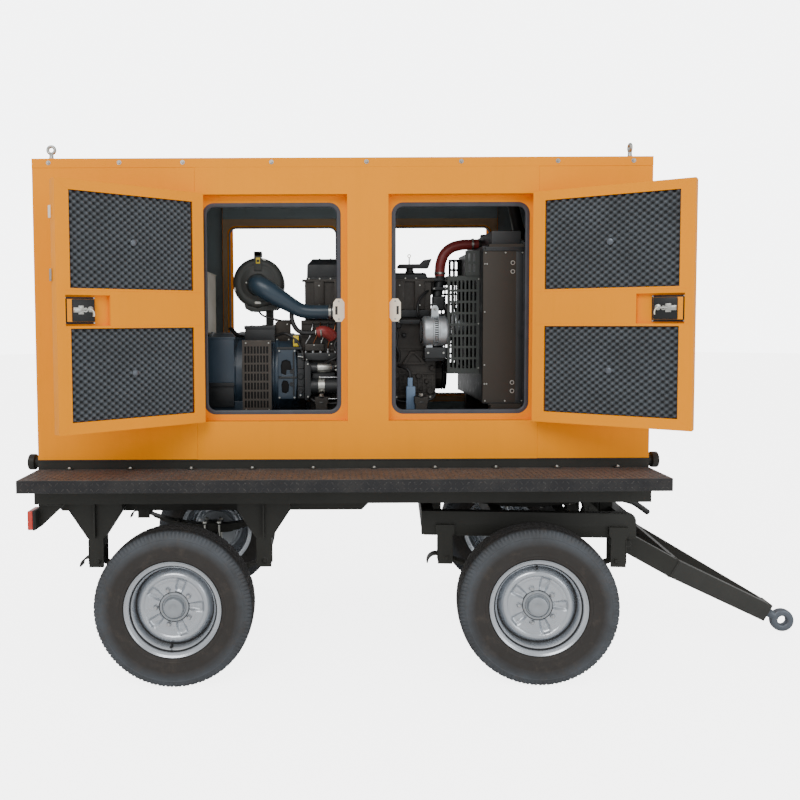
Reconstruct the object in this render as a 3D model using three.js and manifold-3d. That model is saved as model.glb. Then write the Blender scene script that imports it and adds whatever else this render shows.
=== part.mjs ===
// A towable diesel generator: a sound-proof canopy with four side doors on a four-wheel
// turntable trailer. Millimetres, +Z up, +X towards the drawbar. The near side is -Y.
import * as THREE from "three";
import { mergeVertices } from "three/addons/utils/BufferGeometryUtils.js";
import Module from "manifold-3d";

const wasm = await Module();
wasm.setup();

// ---------------------------------------------------------------- driving dimensions
const GAP = 0.3;
const NEAR = -1;
const FAR = 1;

// wheels and axles
const TYRE_RADIUS = 375;
const TYRE_WIDTH = 185;
const WHEEL_FACETS = 20;
const TRACK_HALF = 710;
const AXLE_SIZE = 60;
const STUB_RADIUS = 25;
const SPRING_Y = 500;
const SPRING_WIDTH = 68;
const SPRING_HALF_SPAN = 412;
const SPRING_EYE_Z = 535;
const SPRING_PACK = 50;
const REAR_AXLE_X = -803;
const TURNTABLE_X = 967;
const REST_STEER_DEG = -4.5;

// trailer frame and deck
const DECK_HALF_LENGTH = 1509;
const DECK_HALF_WIDTH = 813;
const DECK_TOP = 990;
const DECK_PLATE = 6;
const DECK_SKIRT = 60;
const FRAME_TOP = DECK_TOP - DECK_PLATE - GAP;
const SIDE_RAIL_Y = 600;
const SIDE_RAIL_WIDTH = 50;
const SIDE_RAIL_BOTTOM = 837;
const MAIN_BEAM_Y = 360;
const MAIN_BEAM_WIDTH = 60;
const MAIN_BEAM_BOTTOM = 750;
const MAIN_BEAM_STEP = 805;
const CROSS_MEMBERS_X = [-1466, -1228, -803, -395, 120, 640, 1190, 1455];
const CROSS_MEMBER_BOTTOM = 870;
const OUTRIGGERS_X = [-1466, -900, -300, 300, 900, 1455];
const OUTRIGGER_BOTTOM = 938;
const RING_OUTER = 390;
const RING_INNER = 310;
const RING_JOINT_Z = 785;

// canopy
const CANOPY_HALF_LENGTH = 1508.5;
const CANOPY_HALF_WIDTH = 528.4;
const BASE_BOTTOM = DECK_TOP + GAP;
const BASE_TOP = 1035.5;
const BASE_FLOOR = 10;
const BAY_FLOOR = BASE_BOTTOM + BASE_FLOOR + GAP;
const ROOF_TOP = 2509;
const ROOF_RIM = 45;
const WALL_TOP = ROOF_TOP - ROOF_RIM - GAP;
const WALL = 30;
const SEAM_REAR_X = -719;
const SEAM_FRONT_X = 954.7;
const APERTURE_BOTTOM = 1224;
const APERTURE_TOP = 2333;
const APERTURES = [[-711, 21.5], [222.5, 947]];
const RECESS = 60;
const JAMB = 20;
const JAMB_OPENINGS = [[-680, -22], [255, 912]];
const JAMB_BOTTOM = 1265;
const JAMB_TOP = 2287;
const JAMB_CORNER = 45;

// doors: lengths run from the hinge pin, depths from the pin inwards
const HINGE_Y = 536;
const REAR_HINGE_X = -708;
const FRONT_HINGE_X = 944;
const SKIN_DEPTH = HINGE_Y - CANOPY_HALF_WIDTH;
const DOOR_START = 3;
const DOOR_END = 719;
const DOOR_THICKNESS = 58;
const DOOR_BOTTOM = 1228;
const DOOR_TOP = 2329;
const DOOR_SHEET = 3;
const DOOR_WINDOW_S = [61, 659];
const DOOR_WINDOWS_Z = [[1279, 1688.5], [1863.5, 2284.5]];
const LATCH_POCKET_S = [479, 681];
const LATCH_POCKET_Z = [1700, 1834];
const HINGE_HEIGHTS = [1330, 1760, 2190];
const KNUCKLE = 45;
const KNUCKLE_RADIUS = 6;
const REAR_DOOR_OPEN_DEG = 141;
const FRONT_DOOR_OPEN_DEG = 147.3;

// drawbar
const DRAWBAR_PIVOT_X = 498;
const DRAWBAR_PIVOT_Z = 590;
const DRAWBAR_LENGTH = 1092;
const DRAWBAR_ARM_Y = 380;
const DRAWBAR_KINK = 270;
const DRAWBAR_WIDTH = 50;
const DRAWBAR_HEIGHT = 96;
const EYE_RADIUS = 62;
const EYE_HOLE_RADIUS = 22;
const EYE_THICKNESS = 44;
const PIN_RADIUS = 13;
const BRAKE_PIVOT_X = 418;
const BRAKE_PIVOT_Z = 781;
const BRAKE_Y = -250;
const BRAKE_GRIP = [240, -78];
const DRAWBAR_SLOPE = Math.asin((DRAWBAR_PIVOT_Z - EYE_RADIUS) / DRAWBAR_LENGTH);

// engine bay
const CRANK_Z = 1430;
const FAN_Z = 1695;
const FAN_X = 650;
const FAN_RADIUS = 235;
const FLYWHEEL_REAR_X = -359;
const BLOCK_TOP = 1720;
const HEAD_TOP = 1940;
const INTAKE_Y = -195;
const INTAKE_Z = 1764;
const RADIATOR_REAR_X = 738;
const HOSE_Y = -60;
const HOSE_TOP_Z = 2130;

const rad = THREE.MathUtils.degToRad;

// ---------------------------------------------------------------- finishes
const FINISHES = {
  amber_paint: [0xf1a52c, 0.42, 0.1],
  black_paint: [0x2b2b29, 0.55, 0.2],
  deck_plate: [0x4d4843, 0.6, 0.5],
  foam: [0x343a41, 0.95, 0],
  cast_iron: [0x33302e, 0.7, 0.4],
  engine_black: [0x1e2022, 0.5, 0.3],
  blue_grey: [0x3f5362, 0.5, 0.3],
  aluminium: [0xb4b8bb, 0.4, 0.9],
  hose: [0x6e2d2c, 0.6, 0],
  cabinet: [0xc9bd9e, 0.5, 0.1],
  tyre: [0x4b4745, 0.9, 0],
  rim_silver: [0xa2a6aa, 0.35, 0.8],
  latch: [0x141414, 0.4, 0.2],
  lens: [0xe0502a, 0.3, 0],
};

function finish(name) {
  const [color, roughness, metalness] = FINISHES[name];
  return new THREE.MeshStandardMaterial({ color, roughness, metalness });
}

// ---------------------------------------------------------------- solid helpers
function solid(geometry) {
  const bare = geometry.clone();
  bare.deleteAttribute("normal");
  bare.deleteAttribute("uv");
  const merged = mergeVertices(bare, 1e-3);
  const vertProperties = Float32Array.from(merged.attributes.position.array);
  const triVerts = Uint32Array.from(merged.index.array);
  return new wasm.Manifold(new wasm.Mesh({ numProp: 3, vertProperties, triVerts }));
}

function geometryOf(manifold) {
  const mesh = manifold.getMesh();
  const geometry = new THREE.BufferGeometry();
  geometry.setAttribute("position", new THREE.BufferAttribute(Float32Array.from(mesh.vertProperties), 3));
  geometry.setIndex(Array.from(mesh.triVerts));
  geometry.computeVertexNormals();
  return geometry;
}

function join(...geometries) {
  return geometryOf(geometries.map(solid).reduce((whole, piece) => whole.add(piece)));
}

function cut(base, ...tools) {
  return geometryOf(tools.map(solid).reduce((whole, tool) => whole.subtract(tool), solid(base)));
}

function block([x0, x1], [y0, y1], [z0, z1]) {
  const geometry = new THREE.BoxGeometry(x1 - x0, y1 - y0, z1 - z0);
  return geometry.translate((x0 + x1) / 2, (y0 + y1) / 2, (z0 + z1) / 2);
}

function span(a, b) {
  return [Math.min(a, b), Math.max(a, b)];
}

function outline(points) {
  return new THREE.Shape(points.map(([a, b]) => new THREE.Vector2(a, b)));
}

function roundedOutline([a0, a1], [b0, b1], radius, steps = 3) {
  const corners = [[a1, b1, 0], [a0, b1, 1], [a0, b0, 2], [a1, b0, 3]];
  const points = corners.flatMap(([a, b, quarter]) => {
    const centreA = a + (a === a1 ? -radius : radius);
    const centreB = b + (b === b1 ? -radius : radius);
    return Array.from({ length: steps + 1 }, (_, i) => {
      const angle = ((quarter + i / steps) * Math.PI) / 2;
      return [centreA + radius * Math.cos(angle), centreB + radius * Math.sin(angle)];
    });
  });
  return outline(points);
}

function ringOutline(centreA, centreB, radius, sides) {
  const points = Array.from({ length: sides }, (_, i) => {
    const angle = ((i + 0.5) * 2 * Math.PI) / sides;
    return [centreA + radius * Math.cos(angle), centreB + radius * Math.sin(angle)];
  });
  return outline(points);
}

function extrudeAlongX(shape, [x0, x1]) {
  const geometry = new THREE.ExtrudeGeometry(shape, { depth: x1 - x0, bevelEnabled: false });
  const axes = [new THREE.Vector3(0, 1, 0), new THREE.Vector3(0, 0, 1), new THREE.Vector3(1, 0, 0)];
  return geometry.applyMatrix4(new THREE.Matrix4().makeBasis(...axes)).translate(x0, 0, 0);
}

function extrudeAlongY(shape, [y0, y1]) {
  const geometry = new THREE.ExtrudeGeometry(shape, { depth: y1 - y0, bevelEnabled: false });
  return geometry.rotateX(Math.PI / 2).translate(0, y1, 0);
}

function rod(from, to, radius, sides = 12) {
  const start = new THREE.Vector3(...from);
  const end = new THREE.Vector3(...to);
  const axis = end.clone().sub(start);
  const geometry = new THREE.CylinderGeometry(radius, radius, axis.length(), sides);
  const upright = new THREE.Vector3(0, 1, 0);
  const turn = new THREE.Quaternion().setFromUnitVectors(upright, axis.clone().normalize());
  const middle = start.add(end).multiplyScalar(0.5);
  return geometry.applyQuaternion(turn).translate(middle.x, middle.y, middle.z);
}

// A straight bar of rectangular section between two points that lie in a plane of constant z.
function bar([ax, ay], [bx, by], width, [z0, z1]) {
  const length = Math.hypot(bx - ax, by - ay);
  const geometry = new THREE.BoxGeometry(length, width, z1 - z0);
  geometry.rotateZ(Math.atan2(by - ay, bx - ax));
  return geometry.translate((ax + bx) / 2, (ay + by) / 2, (z0 + z1) / 2);
}

function tube(points, radius, sides, steps) {
  const places = points.map((point) => new THREE.Vector3(...point));
  const path = new THREE.CatmullRomCurve3(places, false, "centripetal");
  const section = ringOutline(0, 0, radius, sides);
  return new THREE.ExtrudeGeometry(section, { steps, extrudePath: path, bevelEnabled: false });
}

// A turned profile of [radius, offset] points about the Y axis, with a flat facet facing down.
function turned(profile, facets) {
  const grow = 1 / Math.cos(Math.PI / facets);
  const points = profile.map(([radius, offset]) => new THREE.Vector2(radius * grow, offset));
  return new THREE.LatheGeometry(points, facets, Math.PI / facets, 2 * Math.PI);
}

// Mirrors a geometry by the signs given and keeps its faces pointing out.
function mirrored(geometry, signX, signY) {
  const flipped = geometry.clone().scale(signX, signY, 1);
  if (signX * signY > 0) {
    return flipped;
  }
  const index = Array.from(flipped.index.array);
  for (let i = 0; i < index.length; i += 3) {
    [index[i], index[i + 1]] = [index[i + 1], index[i]];
  }
  flipped.setIndex(index);
  flipped.computeVertexNormals();
  return flipped;
}

// ---------------------------------------------------------------- scene helpers
const generator = new THREE.Group();
const trailer = new THREE.Group();
generator.add(trailer);

function add(parent, name, geometry, finishName) {
  const mesh = new THREE.Mesh(geometry, finish(finishName));
  mesh.name = name;
  parent.add(mesh);
  return mesh;
}

function groupAt(parent, x, y, z) {
  const group = new THREE.Group();
  group.position.set(x, y, z);
  parent.add(group);
  return group;
}

function sideName(side) {
  return side === NEAR ? "near" : "far";
}

// ---------------------------------------------------------------- trailer frame
function deckPlatform() {
  const skirt = 5;
  const tray = block(
    [-DECK_HALF_LENGTH, DECK_HALF_LENGTH],
    [-DECK_HALF_WIDTH, DECK_HALF_WIDTH],
    [DECK_TOP - DECK_SKIRT, DECK_TOP],
  );
  const inside = block(
    [-DECK_HALF_LENGTH + skirt, DECK_HALF_LENGTH - skirt],
    [-DECK_HALF_WIDTH + skirt, DECK_HALF_WIDTH - skirt],
    [DECK_TOP - DECK_SKIRT - 1, DECK_TOP - DECK_PLATE],
  );
  return cut(tray, inside);
}

// A tapered post with two cheeks that hold a leaf-spring eye between them.
function springHanger(x, side, topZ, taperTopZ, topHalf) {
  const postHalf = 36;
  const cheek = 12;
  const waistZ = SPRING_EYE_Z + 110;
  const footZ = SPRING_EYE_Z - 32;
  const profile = outline([
    [x - postHalf, footZ], [x + postHalf, footZ], [x + postHalf, waistZ], [x + topHalf, taperTopZ],
    [x + topHalf, topZ], [x - topHalf, topZ], [x - topHalf, taperTopZ], [x - postHalf, waistZ],
  ]);
  const half = SPRING_WIDTH / 2 + cheek;
  const y = side * SPRING_Y;
  const post = extrudeAlongY(profile, [y - half, y + half]);
  const slot = block(
    [x - 400, x + 400],
    [y - SPRING_WIDTH / 2 - 1, y + SPRING_WIDTH / 2 + 1],
    [footZ - 1, SPRING_EYE_Z + 70],
  );
  return cut(post, slot);
}

function chassisFrame() {
  const beamProfile = outline([
    [-1490, 800], [-1440, MAIN_BEAM_BOTTOM], [95, MAIN_BEAM_BOTTOM], [150, MAIN_BEAM_STEP],
    [1480, MAIN_BEAM_STEP], [1480, FRAME_TOP], [-1490, FRAME_TOP],
  ]);
  const pieces = [];
  for (const side of [NEAR, FAR]) {
    const beamY = side * MAIN_BEAM_Y;
    pieces.push(extrudeAlongY(beamProfile, [beamY - MAIN_BEAM_WIDTH / 2, beamY + MAIN_BEAM_WIDTH / 2]));
    const railY = side * SIDE_RAIL_Y;
    pieces.push(block(
      [-1496, 1485],
      [railY - SIDE_RAIL_WIDTH / 2, railY + SIDE_RAIL_WIDTH / 2],
      [SIDE_RAIL_BOTTOM, FRAME_TOP],
    ));
  }
  for (const x of CROSS_MEMBERS_X) {
    pieces.push(block([x - 30, x + 30], [-SIDE_RAIL_Y, SIDE_RAIL_Y], [CROSS_MEMBER_BOTTOM, FRAME_TOP]));
  }
  const outriggerReach = DECK_HALF_WIDTH - 6;
  for (const x of OUTRIGGERS_X) {
    pieces.push(block([x - 15, x + 15], [-outriggerReach, outriggerReach], [OUTRIGGER_BOTTOM, FRAME_TOP]));
  }
  for (const side of [NEAR, FAR]) {
    for (const x of [REAR_AXLE_X - SPRING_HALF_SPAN - 10, REAR_AXLE_X + SPRING_HALF_SPAN - 4]) {
      pieces.push(springHanger(x, side, 900, 790, 130));
    }
  }
  return join(...pieces);
}

function turntableRing() {
  const profile = [
    [RING_INNER, RING_JOINT_Z], [RING_OUTER, RING_JOINT_Z],
    [RING_OUTER, MAIN_BEAM_STEP - GAP], [RING_INNER, MAIN_BEAM_STEP - GAP], [RING_INNER, RING_JOINT_Z],
  ];
  const points = profile.map(([radius, offset]) => new THREE.Vector2(radius, offset));
  return new THREE.LatheGeometry(points, 28).rotateX(Math.PI / 2).translate(TURNTABLE_X, 0, 0);
}

function tailLight(side) {
  const y = side * SIDE_RAIL_Y;
  const bracket = outline([[-1484, 722], [-1484, 836.5], [-1360, 836.5], [-1360, 826], [-1474, 722]]);
  const arm = extrudeAlongY(bracket, [y - 3, y + 3]);
  const lamp = block([-1522, -1483], [y - 55, y + 55], [715, 813]);
  return join(arm, lamp);
}

// ---------------------------------------------------------------- canopy
function skidBase() {
  const outer = block(
    [-DECK_HALF_LENGTH, DECK_HALF_LENGTH],
    [-CANOPY_HALF_WIDTH, CANOPY_HALF_WIDTH],
    [BASE_BOTTOM, BASE_TOP],
  );
  const rim = 60;
  const pocket = block(
    [-DECK_HALF_LENGTH + rim, DECK_HALF_LENGTH - rim],
    [-CANOPY_HALF_WIDTH + rim, CANOPY_HALF_WIDTH - rim],
    [BASE_BOTTOM + BASE_FLOOR, BASE_TOP + 1],
  );
  const pieces = [cut(outer, pocket)];
  for (const end of [-1, 1]) {
    for (const side of [NEAR, FAR]) {
      const y = side * 480;
      const z = 1020;
      const at = (x) => [end * x, y, z];
      pieces.push(rod(at(CANOPY_HALF_LENGTH + 0.3), at(1536), 22.5, 12));
      pieces.push(rod(at(1535), at(1565), 38, 14));
    }
  }
  return join(...pieces);
}

function louvredWall(x, [y0, y1], [z0, z1], blades) {
  const inside = CANOPY_HALF_WIDTH - WALL - GAP;
  const wall = block(span(x, x - Math.sign(x) * WALL), [-inside, inside], [BASE_TOP + GAP, WALL_TOP]);
  const opening = block([x - WALL - 1, x + WALL + 1], [y0, y1], [z0, z1]);
  const pieces = [cut(wall, opening)];
  const outward = Math.sign(x);
  const pitch = (z1 - z0) / blades;
  for (let i = 0; i < blades; i += 1) {
    const z = z0 + (i + 0.5) * pitch;
    const slat = outline([
      [x - outward * 2, z - pitch * 0.4], [x - outward * (WALL - 2), z + pitch * 0.3],
      [x - outward * (WALL - 2), z + pitch * 0.3 + 3], [x - outward * 2, z - pitch * 0.4 + 3],
    ]);
    pieces.push(extrudeAlongY(slat, [y0 - 1, y1 + 1]));
  }
  return join(...pieces);
}

function sidePanel(side, xRange) {
  const outer = side * CANOPY_HALF_WIDTH;
  return block(xRange, span(outer, outer - side * WALL), [BASE_TOP + GAP, WALL_TOP]);
}

function doorFrame(side) {
  const outer = side * CANOPY_HALF_WIDTH;
  const back = outer - side * (RECESS + JAMB);
  const slab = block([SEAM_REAR_X, SEAM_FRONT_X], span(outer, back), [BASE_TOP + GAP, WALL_TOP]);
  const recess = span(outer + side, outer - side * RECESS);
  const through = span(outer + side, back - side);
  const tools = [];
  APERTURES.forEach((aperture, i) => {
    tools.push(block(aperture, recess, [APERTURE_BOTTOM, APERTURE_TOP]));
    const doorway = roundedOutline(JAMB_OPENINGS[i], [JAMB_BOTTOM, JAMB_TOP], JAMB_CORNER);
    tools.push(extrudeAlongY(doorway, through));
  });
  const plate = cut(slab, ...tools);
  const knuckles = [];
  for (const [hingeX, away] of [[REAR_HINGE_X, -1], [FRONT_HINGE_X, 1]]) {
    for (const z of HINGE_HEIGHTS) {
      const range = [z + GAP, z + KNUCKLE];
      const y = side * HINGE_Y;
      knuckles.push(rod([hingeX, y, range[0]], [hingeX, y, range[1]], KNUCKLE_RADIUS, 8));
      knuckles.push(block(span(hingeX, hingeX + away * 42), span(y - side * 6.9, y - side * 4), range));
      knuckles.push(block(
        span(hingeX + away * 3.5, hingeX + away * 10.5),
        span(y - side * 5, outer - side * 1),
        range,
      ));
    }
  }
  return join(plate, ...knuckles);
}

function roofPanel() {
  const cap = block(
    [-CANOPY_HALF_LENGTH, CANOPY_HALF_LENGTH],
    [-CANOPY_HALF_WIDTH, CANOPY_HALF_WIDTH],
    [ROOF_TOP - ROOF_RIM, ROOF_TOP],
  );
  const underside = block(
    [-CANOPY_HALF_LENGTH + 20, CANOPY_HALF_LENGTH - 20],
    [-CANOPY_HALF_WIDTH + 20, CANOPY_HALF_WIDTH - 20],
    [ROOF_TOP - ROOF_RIM - 1, ROOF_TOP - 6],
  );
  const pieces = [cut(cap, underside)];
  const ring = 17.5;
  const wire = 6.5;
  const ringZ = ROOF_TOP + 52;
  for (const [x, turn] of [[-1431, 0], [1414.5, Math.PI / 2]]) {
    for (const side of [NEAR, FAR]) {
      const y = side * (CANOPY_HALF_WIDTH - 60);
      const eye = new THREE.TorusGeometry(ring, wire, 6, 14);
      pieces.push(eye.rotateX(Math.PI / 2).rotateZ(turn).translate(x, y, ringZ));
      pieces.push(rod([x, y, ROOF_TOP - 2], [x, y, ringZ - ring + 2], 9, 8));
      pieces.push(rod([x, y, ROOF_TOP - 1], [x, y, ROOF_TOP + 8], 17, 8));
    }
  }
  return join(...pieces);
}

// ---------------------------------------------------------------- doors
function doorShell() {
  const outside = SKIN_DEPTH;
  const inside = SKIN_DEPTH + DOOR_THICKNESS;
  const leaf = block([DOOR_START, DOOR_END], [outside, inside], [DOOR_BOTTOM, DOOR_TOP]);
  const cavity = block(
    [DOOR_START + 17, DOOR_END - 17],
    [outside + DOOR_SHEET, inside - 6],
    [DOOR_BOTTOM + 17, DOOR_TOP - 17],
  );
  const lipDepth = [outside + DOOR_SHEET, inside + 1];
  const windows = DOOR_WINDOWS_Z.map((range) => block(DOOR_WINDOW_S, lipDepth, range));
  const housing = block([472, 700], [outside + 1, inside], [LATCH_POCKET_Z[0] - 7, LATCH_POCKET_Z[1] + 7]);
  const pocket = block(LATCH_POCKET_S, [outside + 32, inside + 1], LATCH_POCKET_Z);
  const latchBox = block([552, 675], [outside + 31, inside + 1.5], [1718, 1816]);
  const paddleTray = block([560, 670], [outside - 1, outside + 14], [1722, 1812]);
  const hinges = HINGE_HEIGHTS.flatMap((z) => {
    const range = [z - KNUCKLE, z - GAP];
    return [
      rod([0, 0, range[0]], [0, 0, range[1]], KNUCKLE_RADIUS, 8),
      block([0, 42], [4.5, outside + 1], range),
    ];
  });
  const shell = cut(leaf, cavity, ...windows);
  return join(cut(join(shell, housing), pocket, paddleTray), latchBox, ...hinges);
}

function doorFoam() {
  const outside = SKIN_DEPTH + DOOR_SHEET + GAP;
  const inside = SKIN_DEPTH + DOOR_THICKNESS - 6 - GAP;
  const sheet = block([DOOR_START + 18, DOOR_END - 18], [outside, inside], [DOOR_BOTTOM + 18, DOOR_TOP - 18]);
  const clearance = block([470, DOOR_END], [0, 80], [LATCH_POCKET_Z[0] - 9, LATCH_POCKET_Z[1] + 9]);
  return cut(sheet, clearance);
}

function latchPaddle() {
  const plate = block([-52, 52], [0, 5], [-78, 4]);
  const pin = rod([-53, 2.5, 0], [53, 2.5, 0], 3.5, 8);
  const grip = block([-40, 40], [-4, 1], [-76, -60]);
  return join(plate, pin, grip);
}

function addDoor(side, end) {
  const isRear = end === "rear";
  const along = isRear ? 1 : -1;
  const name = `${sideName(side)}_${end}_door`;
  const pivot = groupAt(trailer, isRear ? REAR_HINGE_X : FRONT_HINGE_X, side * HINGE_Y, 0);
  const angle = rad(isRear ? REAR_DOOR_OPEN_DEG : FRONT_DOOR_OPEN_DEG);
  pivot.rotation.z = side * along * angle;
  // the door is drawn on the near side, running towards +X
  const place = (geometry) => mirrored(geometry, along, -side);
  add(pivot, name, place(doorShell()), "amber_paint");
  add(pivot, `${name}_foam`, place(doorFoam()), "foam");
  const paddle = groupAt(pivot, along * 615, -side * (SKIN_DEPTH + 4), 1804);
  add(paddle, `${name}_latch`, place(latchPaddle()), "latch");
}

// ---------------------------------------------------------------- wheels, axles, springs
function tyre() {
  const half = TYRE_WIDTH / 2;
  const side = [[206.5, 62], [226, 70.5], [232, 84], [290, half], [350, 84], [TYRE_RADIUS, 62]];
  const lower = side.map(([radius, offset]) => [radius, -offset]);
  return turned([...lower, ...side.reverse(), lower[0]], WHEEL_FACETS);
}

function wheelRim() {
  return turned([
    [0, 30], [STUB_RADIUS + 0.6, 30], [STUB_RADIUS + 0.6, -75], [125, -75], [125, -4], [190, -4],
    [190, -70], [225, -78], [206, -63.5], [206, 63.5], [225, 71.5], [225, 78],
    [190, 64], [190, 10], [76, 24], [66, 50], [0, 62],
  ], WHEEL_FACETS);
}

function axle() {
  const reach = 575;
  const half = AXLE_SIZE / 2;
  const pieces = [block([-half, half], [-reach, reach], [-half, half])];
  for (const side of [NEAR, FAR]) {
    const y = side * SPRING_Y;
    pieces.push(rod([0, side * (reach - 20), 0], [0, side * (TRACK_HALF + 24), 0], STUB_RADIUS, 12));
    pieces.push(block([-60, 60], [y - 55, y + 55], [half + SPRING_PACK + 3, half + SPRING_PACK + 13]));
    pieces.push(block([-60, 60], [y - 55, y + 55], [-half - 12, -half + 1]));
    for (const x of [-44, 44]) {
      for (const offset of [-44, 44]) {
        pieces.push(rod([x, y + offset, -half - 20], [x, y + offset, half + SPRING_PACK + 22], 8, 4));
      }
    }
  }
  return join(...pieces);
}

function leafSpring() {
  const steps = 4;
  const arch = SPRING_EYE_Z - TYRE_RADIUS - AXLE_SIZE / 2 - SPRING_PACK;
  const tip = 12;
  const top = [];
  const bottom = [];
  for (let i = -steps; i <= steps; i += 1) {
    const t = Math.abs(i) / steps;
    const x = (i / steps) * SPRING_HALF_SPAN;
    const z = AXLE_SIZE / 2 + SPRING_PACK + arch * t * t;
    top.push([x, z]);
    bottom.push([x, z - tip - (SPRING_PACK - tip) * (1 - t) + GAP]);
  }
  const pack = extrudeAlongY(outline([...bottom, ...top.reverse()]), [-SPRING_WIDTH / 2, SPRING_WIDTH / 2]);
  const eyes = [-1, 1].map((end) => {
    const x = end * SPRING_HALF_SPAN;
    const z = AXLE_SIZE / 2 + SPRING_PACK + arch;
    return rod([x, -SPRING_WIDTH / 2, z], [x, SPRING_WIDTH / 2, z], 18, 8);
  });
  return join(pack, ...eyes);
}

function addAxle(parent, end) {
  const centre = groupAt(parent, 0, 0, TYRE_RADIUS);
  add(centre, `${end}_axle`, axle(), "black_paint");
  for (const side of [NEAR, FAR]) {
    const label = `${end}_${sideName(side)}`;
    add(groupAt(centre, 0, side * SPRING_Y, 0), `${label}_leaf_spring`, leafSpring(), "black_paint");
    const wheel = groupAt(centre, 0, side * TRACK_HALF, 0);
    wheel.rotation.x = side === NEAR ? Math.PI : 0;
    add(wheel, `${label}_tyre`, tyre(), "tyre");
    add(wheel, `${label}_rim`, wheelRim(), "rim_silver");
  }
}

// ---------------------------------------------------------------- steering bogie and drawbar
function bogieFrame() {
  const [bottom, top] = [644, 764];
  const [rear, front] = [-537, 513];
  const rail = outline([
    [rear, bottom], [front, bottom], [front, top - 30], [front - 9, top - 9], [front - 30, top], [rear, top],
  ]);
  const pieces = [];
  for (const side of [NEAR, FAR]) {
    const y = side * SPRING_Y;
    pieces.push(extrudeAlongY(rail, [y - 25, y + 25]));
    for (const x of [-SPRING_HALF_SPAN - 8, SPRING_HALF_SPAN + 12]) {
      pieces.push(springHanger(x, side, 700, 660, 46));
    }
    for (const offset of [-34, 34]) {
      const lugY = side * DRAWBAR_ARM_Y + offset;
      const pinX = DRAWBAR_PIVOT_X;
      const lug = outline([
        [pinX - 50, 700], [pinX - 50, 640], [pinX - 26, 560], [pinX + 26, 560],
        [pinX + 26, 612], [pinX - 6, 650], [pinX - 6, 700],
      ]);
      pieces.push(extrudeAlongY(lug, [lugY - 6, lugY + 6]));
    }
    const pinY = side * DRAWBAR_ARM_Y;
    pieces.push(rod(
      [DRAWBAR_PIVOT_X, pinY - 46, DRAWBAR_PIVOT_Z],
      [DRAWBAR_PIVOT_X, pinY + 46, DRAWBAR_PIVOT_Z],
      PIN_RADIUS, 10,
    ));
  }
  for (const x of [[rear, rear + 60], [-190, -130], [130, 190]]) {
    pieces.push(block(x, [-SPRING_Y, SPRING_Y], [bottom + 20, top]));
  }
  pieces.push(block([front - 60, front - 4], [-SPRING_Y, SPRING_Y], [bottom + 20, top - 22]));
  const ring = [
    [RING_INNER, top - 4], [RING_OUTER, top - 4], [RING_OUTER, RING_JOINT_Z - GAP],
    [RING_INNER, RING_JOINT_Z - GAP], [RING_INNER, top - 4],
  ];
  const points = ring.map(([radius, offset]) => new THREE.Vector2(radius, offset));
  pieces.push(new THREE.LatheGeometry(points, 28).rotateX(Math.PI / 2));
  for (const offset of [-15, 9.5]) {
    const y = BRAKE_Y + offset;
    pieces.push(block([BRAKE_PIVOT_X - 15, BRAKE_PIVOT_X + 48], [y, y + 5.5], [710, BRAKE_PIVOT_Z + 14]));
  }
  return join(...pieces);
}

function brakeLever() {
  const strap = block([-10, 96], [-4, 4], [-7, 7]);
  const boss = rod([0, -9, 0], [0, 9, 0], 13, 10);
  const grip = rod([90, 0, 2], [BRAKE_GRIP[0], 0, BRAKE_GRIP[1]], 14, 10);
  return join(strap, boss, grip);
}

function drawbarFrame() {
  const half = DRAWBAR_HEIGHT / 2;
  const height = [-half, half];
  const tip = DRAWBAR_LENGTH - 122;
  const pieces = [];
  for (const side of [NEAR, FAR]) {
    const arm = side * DRAWBAR_ARM_Y;
    pieces.push(bar([-28, arm], [DRAWBAR_KINK + 14, arm], DRAWBAR_WIDTH, height));
    pieces.push(bar([DRAWBAR_KINK, arm], [tip, side * 40], DRAWBAR_WIDTH, height));
  }
  pieces.push(bar([DRAWBAR_KINK, -DRAWBAR_ARM_Y], [DRAWBAR_KINK, DRAWBAR_ARM_Y], DRAWBAR_WIDTH, height));
  pieces.push(block([tip - 55, tip + 5], [-62, 62], height));
  const tools = [rod([tip - 90, 0, 0], [tip + 20, 0, 0], 22.5, 12)];
  for (const side of [NEAR, FAR]) {
    const y = side * DRAWBAR_ARM_Y;
    tools.push(rod([0, y - 60, 0], [0, y + 60, 0], PIN_RADIUS + 1, 10));
  }
  return cut(join(...pieces), ...tools);
}

function towEye() {
  const ring = ringOutline(0, 0, EYE_RADIUS, 24);
  ring.holes.push(ringOutline(0, 0, EYE_HOLE_RADIUS, 14));
  const eye = extrudeAlongY(ring, [-EYE_THICKNESS / 2, EYE_THICKNESS / 2]);
  const tip = -122;
  const shank = rod([tip - 80, 0, 0], [-EYE_RADIUS + 8, 0, 0], 21, 12);
  const collar = rod([tip + 6, 0, 0], [tip + 20, 0, 0], 34, 12);
  const nut = rod([tip - 84, 0, 0], [tip - 58, 0, 0], 31, 6);
  return join(eye, shank, collar, nut);
}

function addBogie() {
  const bogie = groupAt(trailer, TURNTABLE_X, 0, 0);
  bogie.rotation.z = rad(REST_STEER_DEG);
  add(bogie, "bogie_frame", bogieFrame(), "black_paint");
  addAxle(bogie, "front");
  const lever = groupAt(bogie, BRAKE_PIVOT_X, BRAKE_Y, BRAKE_PIVOT_Z);
  add(lever, "brake_lever", brakeLever(), "black_paint");
  const drawbar = groupAt(bogie, DRAWBAR_PIVOT_X, 0, DRAWBAR_PIVOT_Z);
  drawbar.rotation.y = DRAWBAR_SLOPE;
  add(drawbar, "drawbar", drawbarFrame(), "black_paint");
  add(groupAt(drawbar, DRAWBAR_LENGTH, 0, 0), "tow_eye", towEye(), "black_paint");
}

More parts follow.
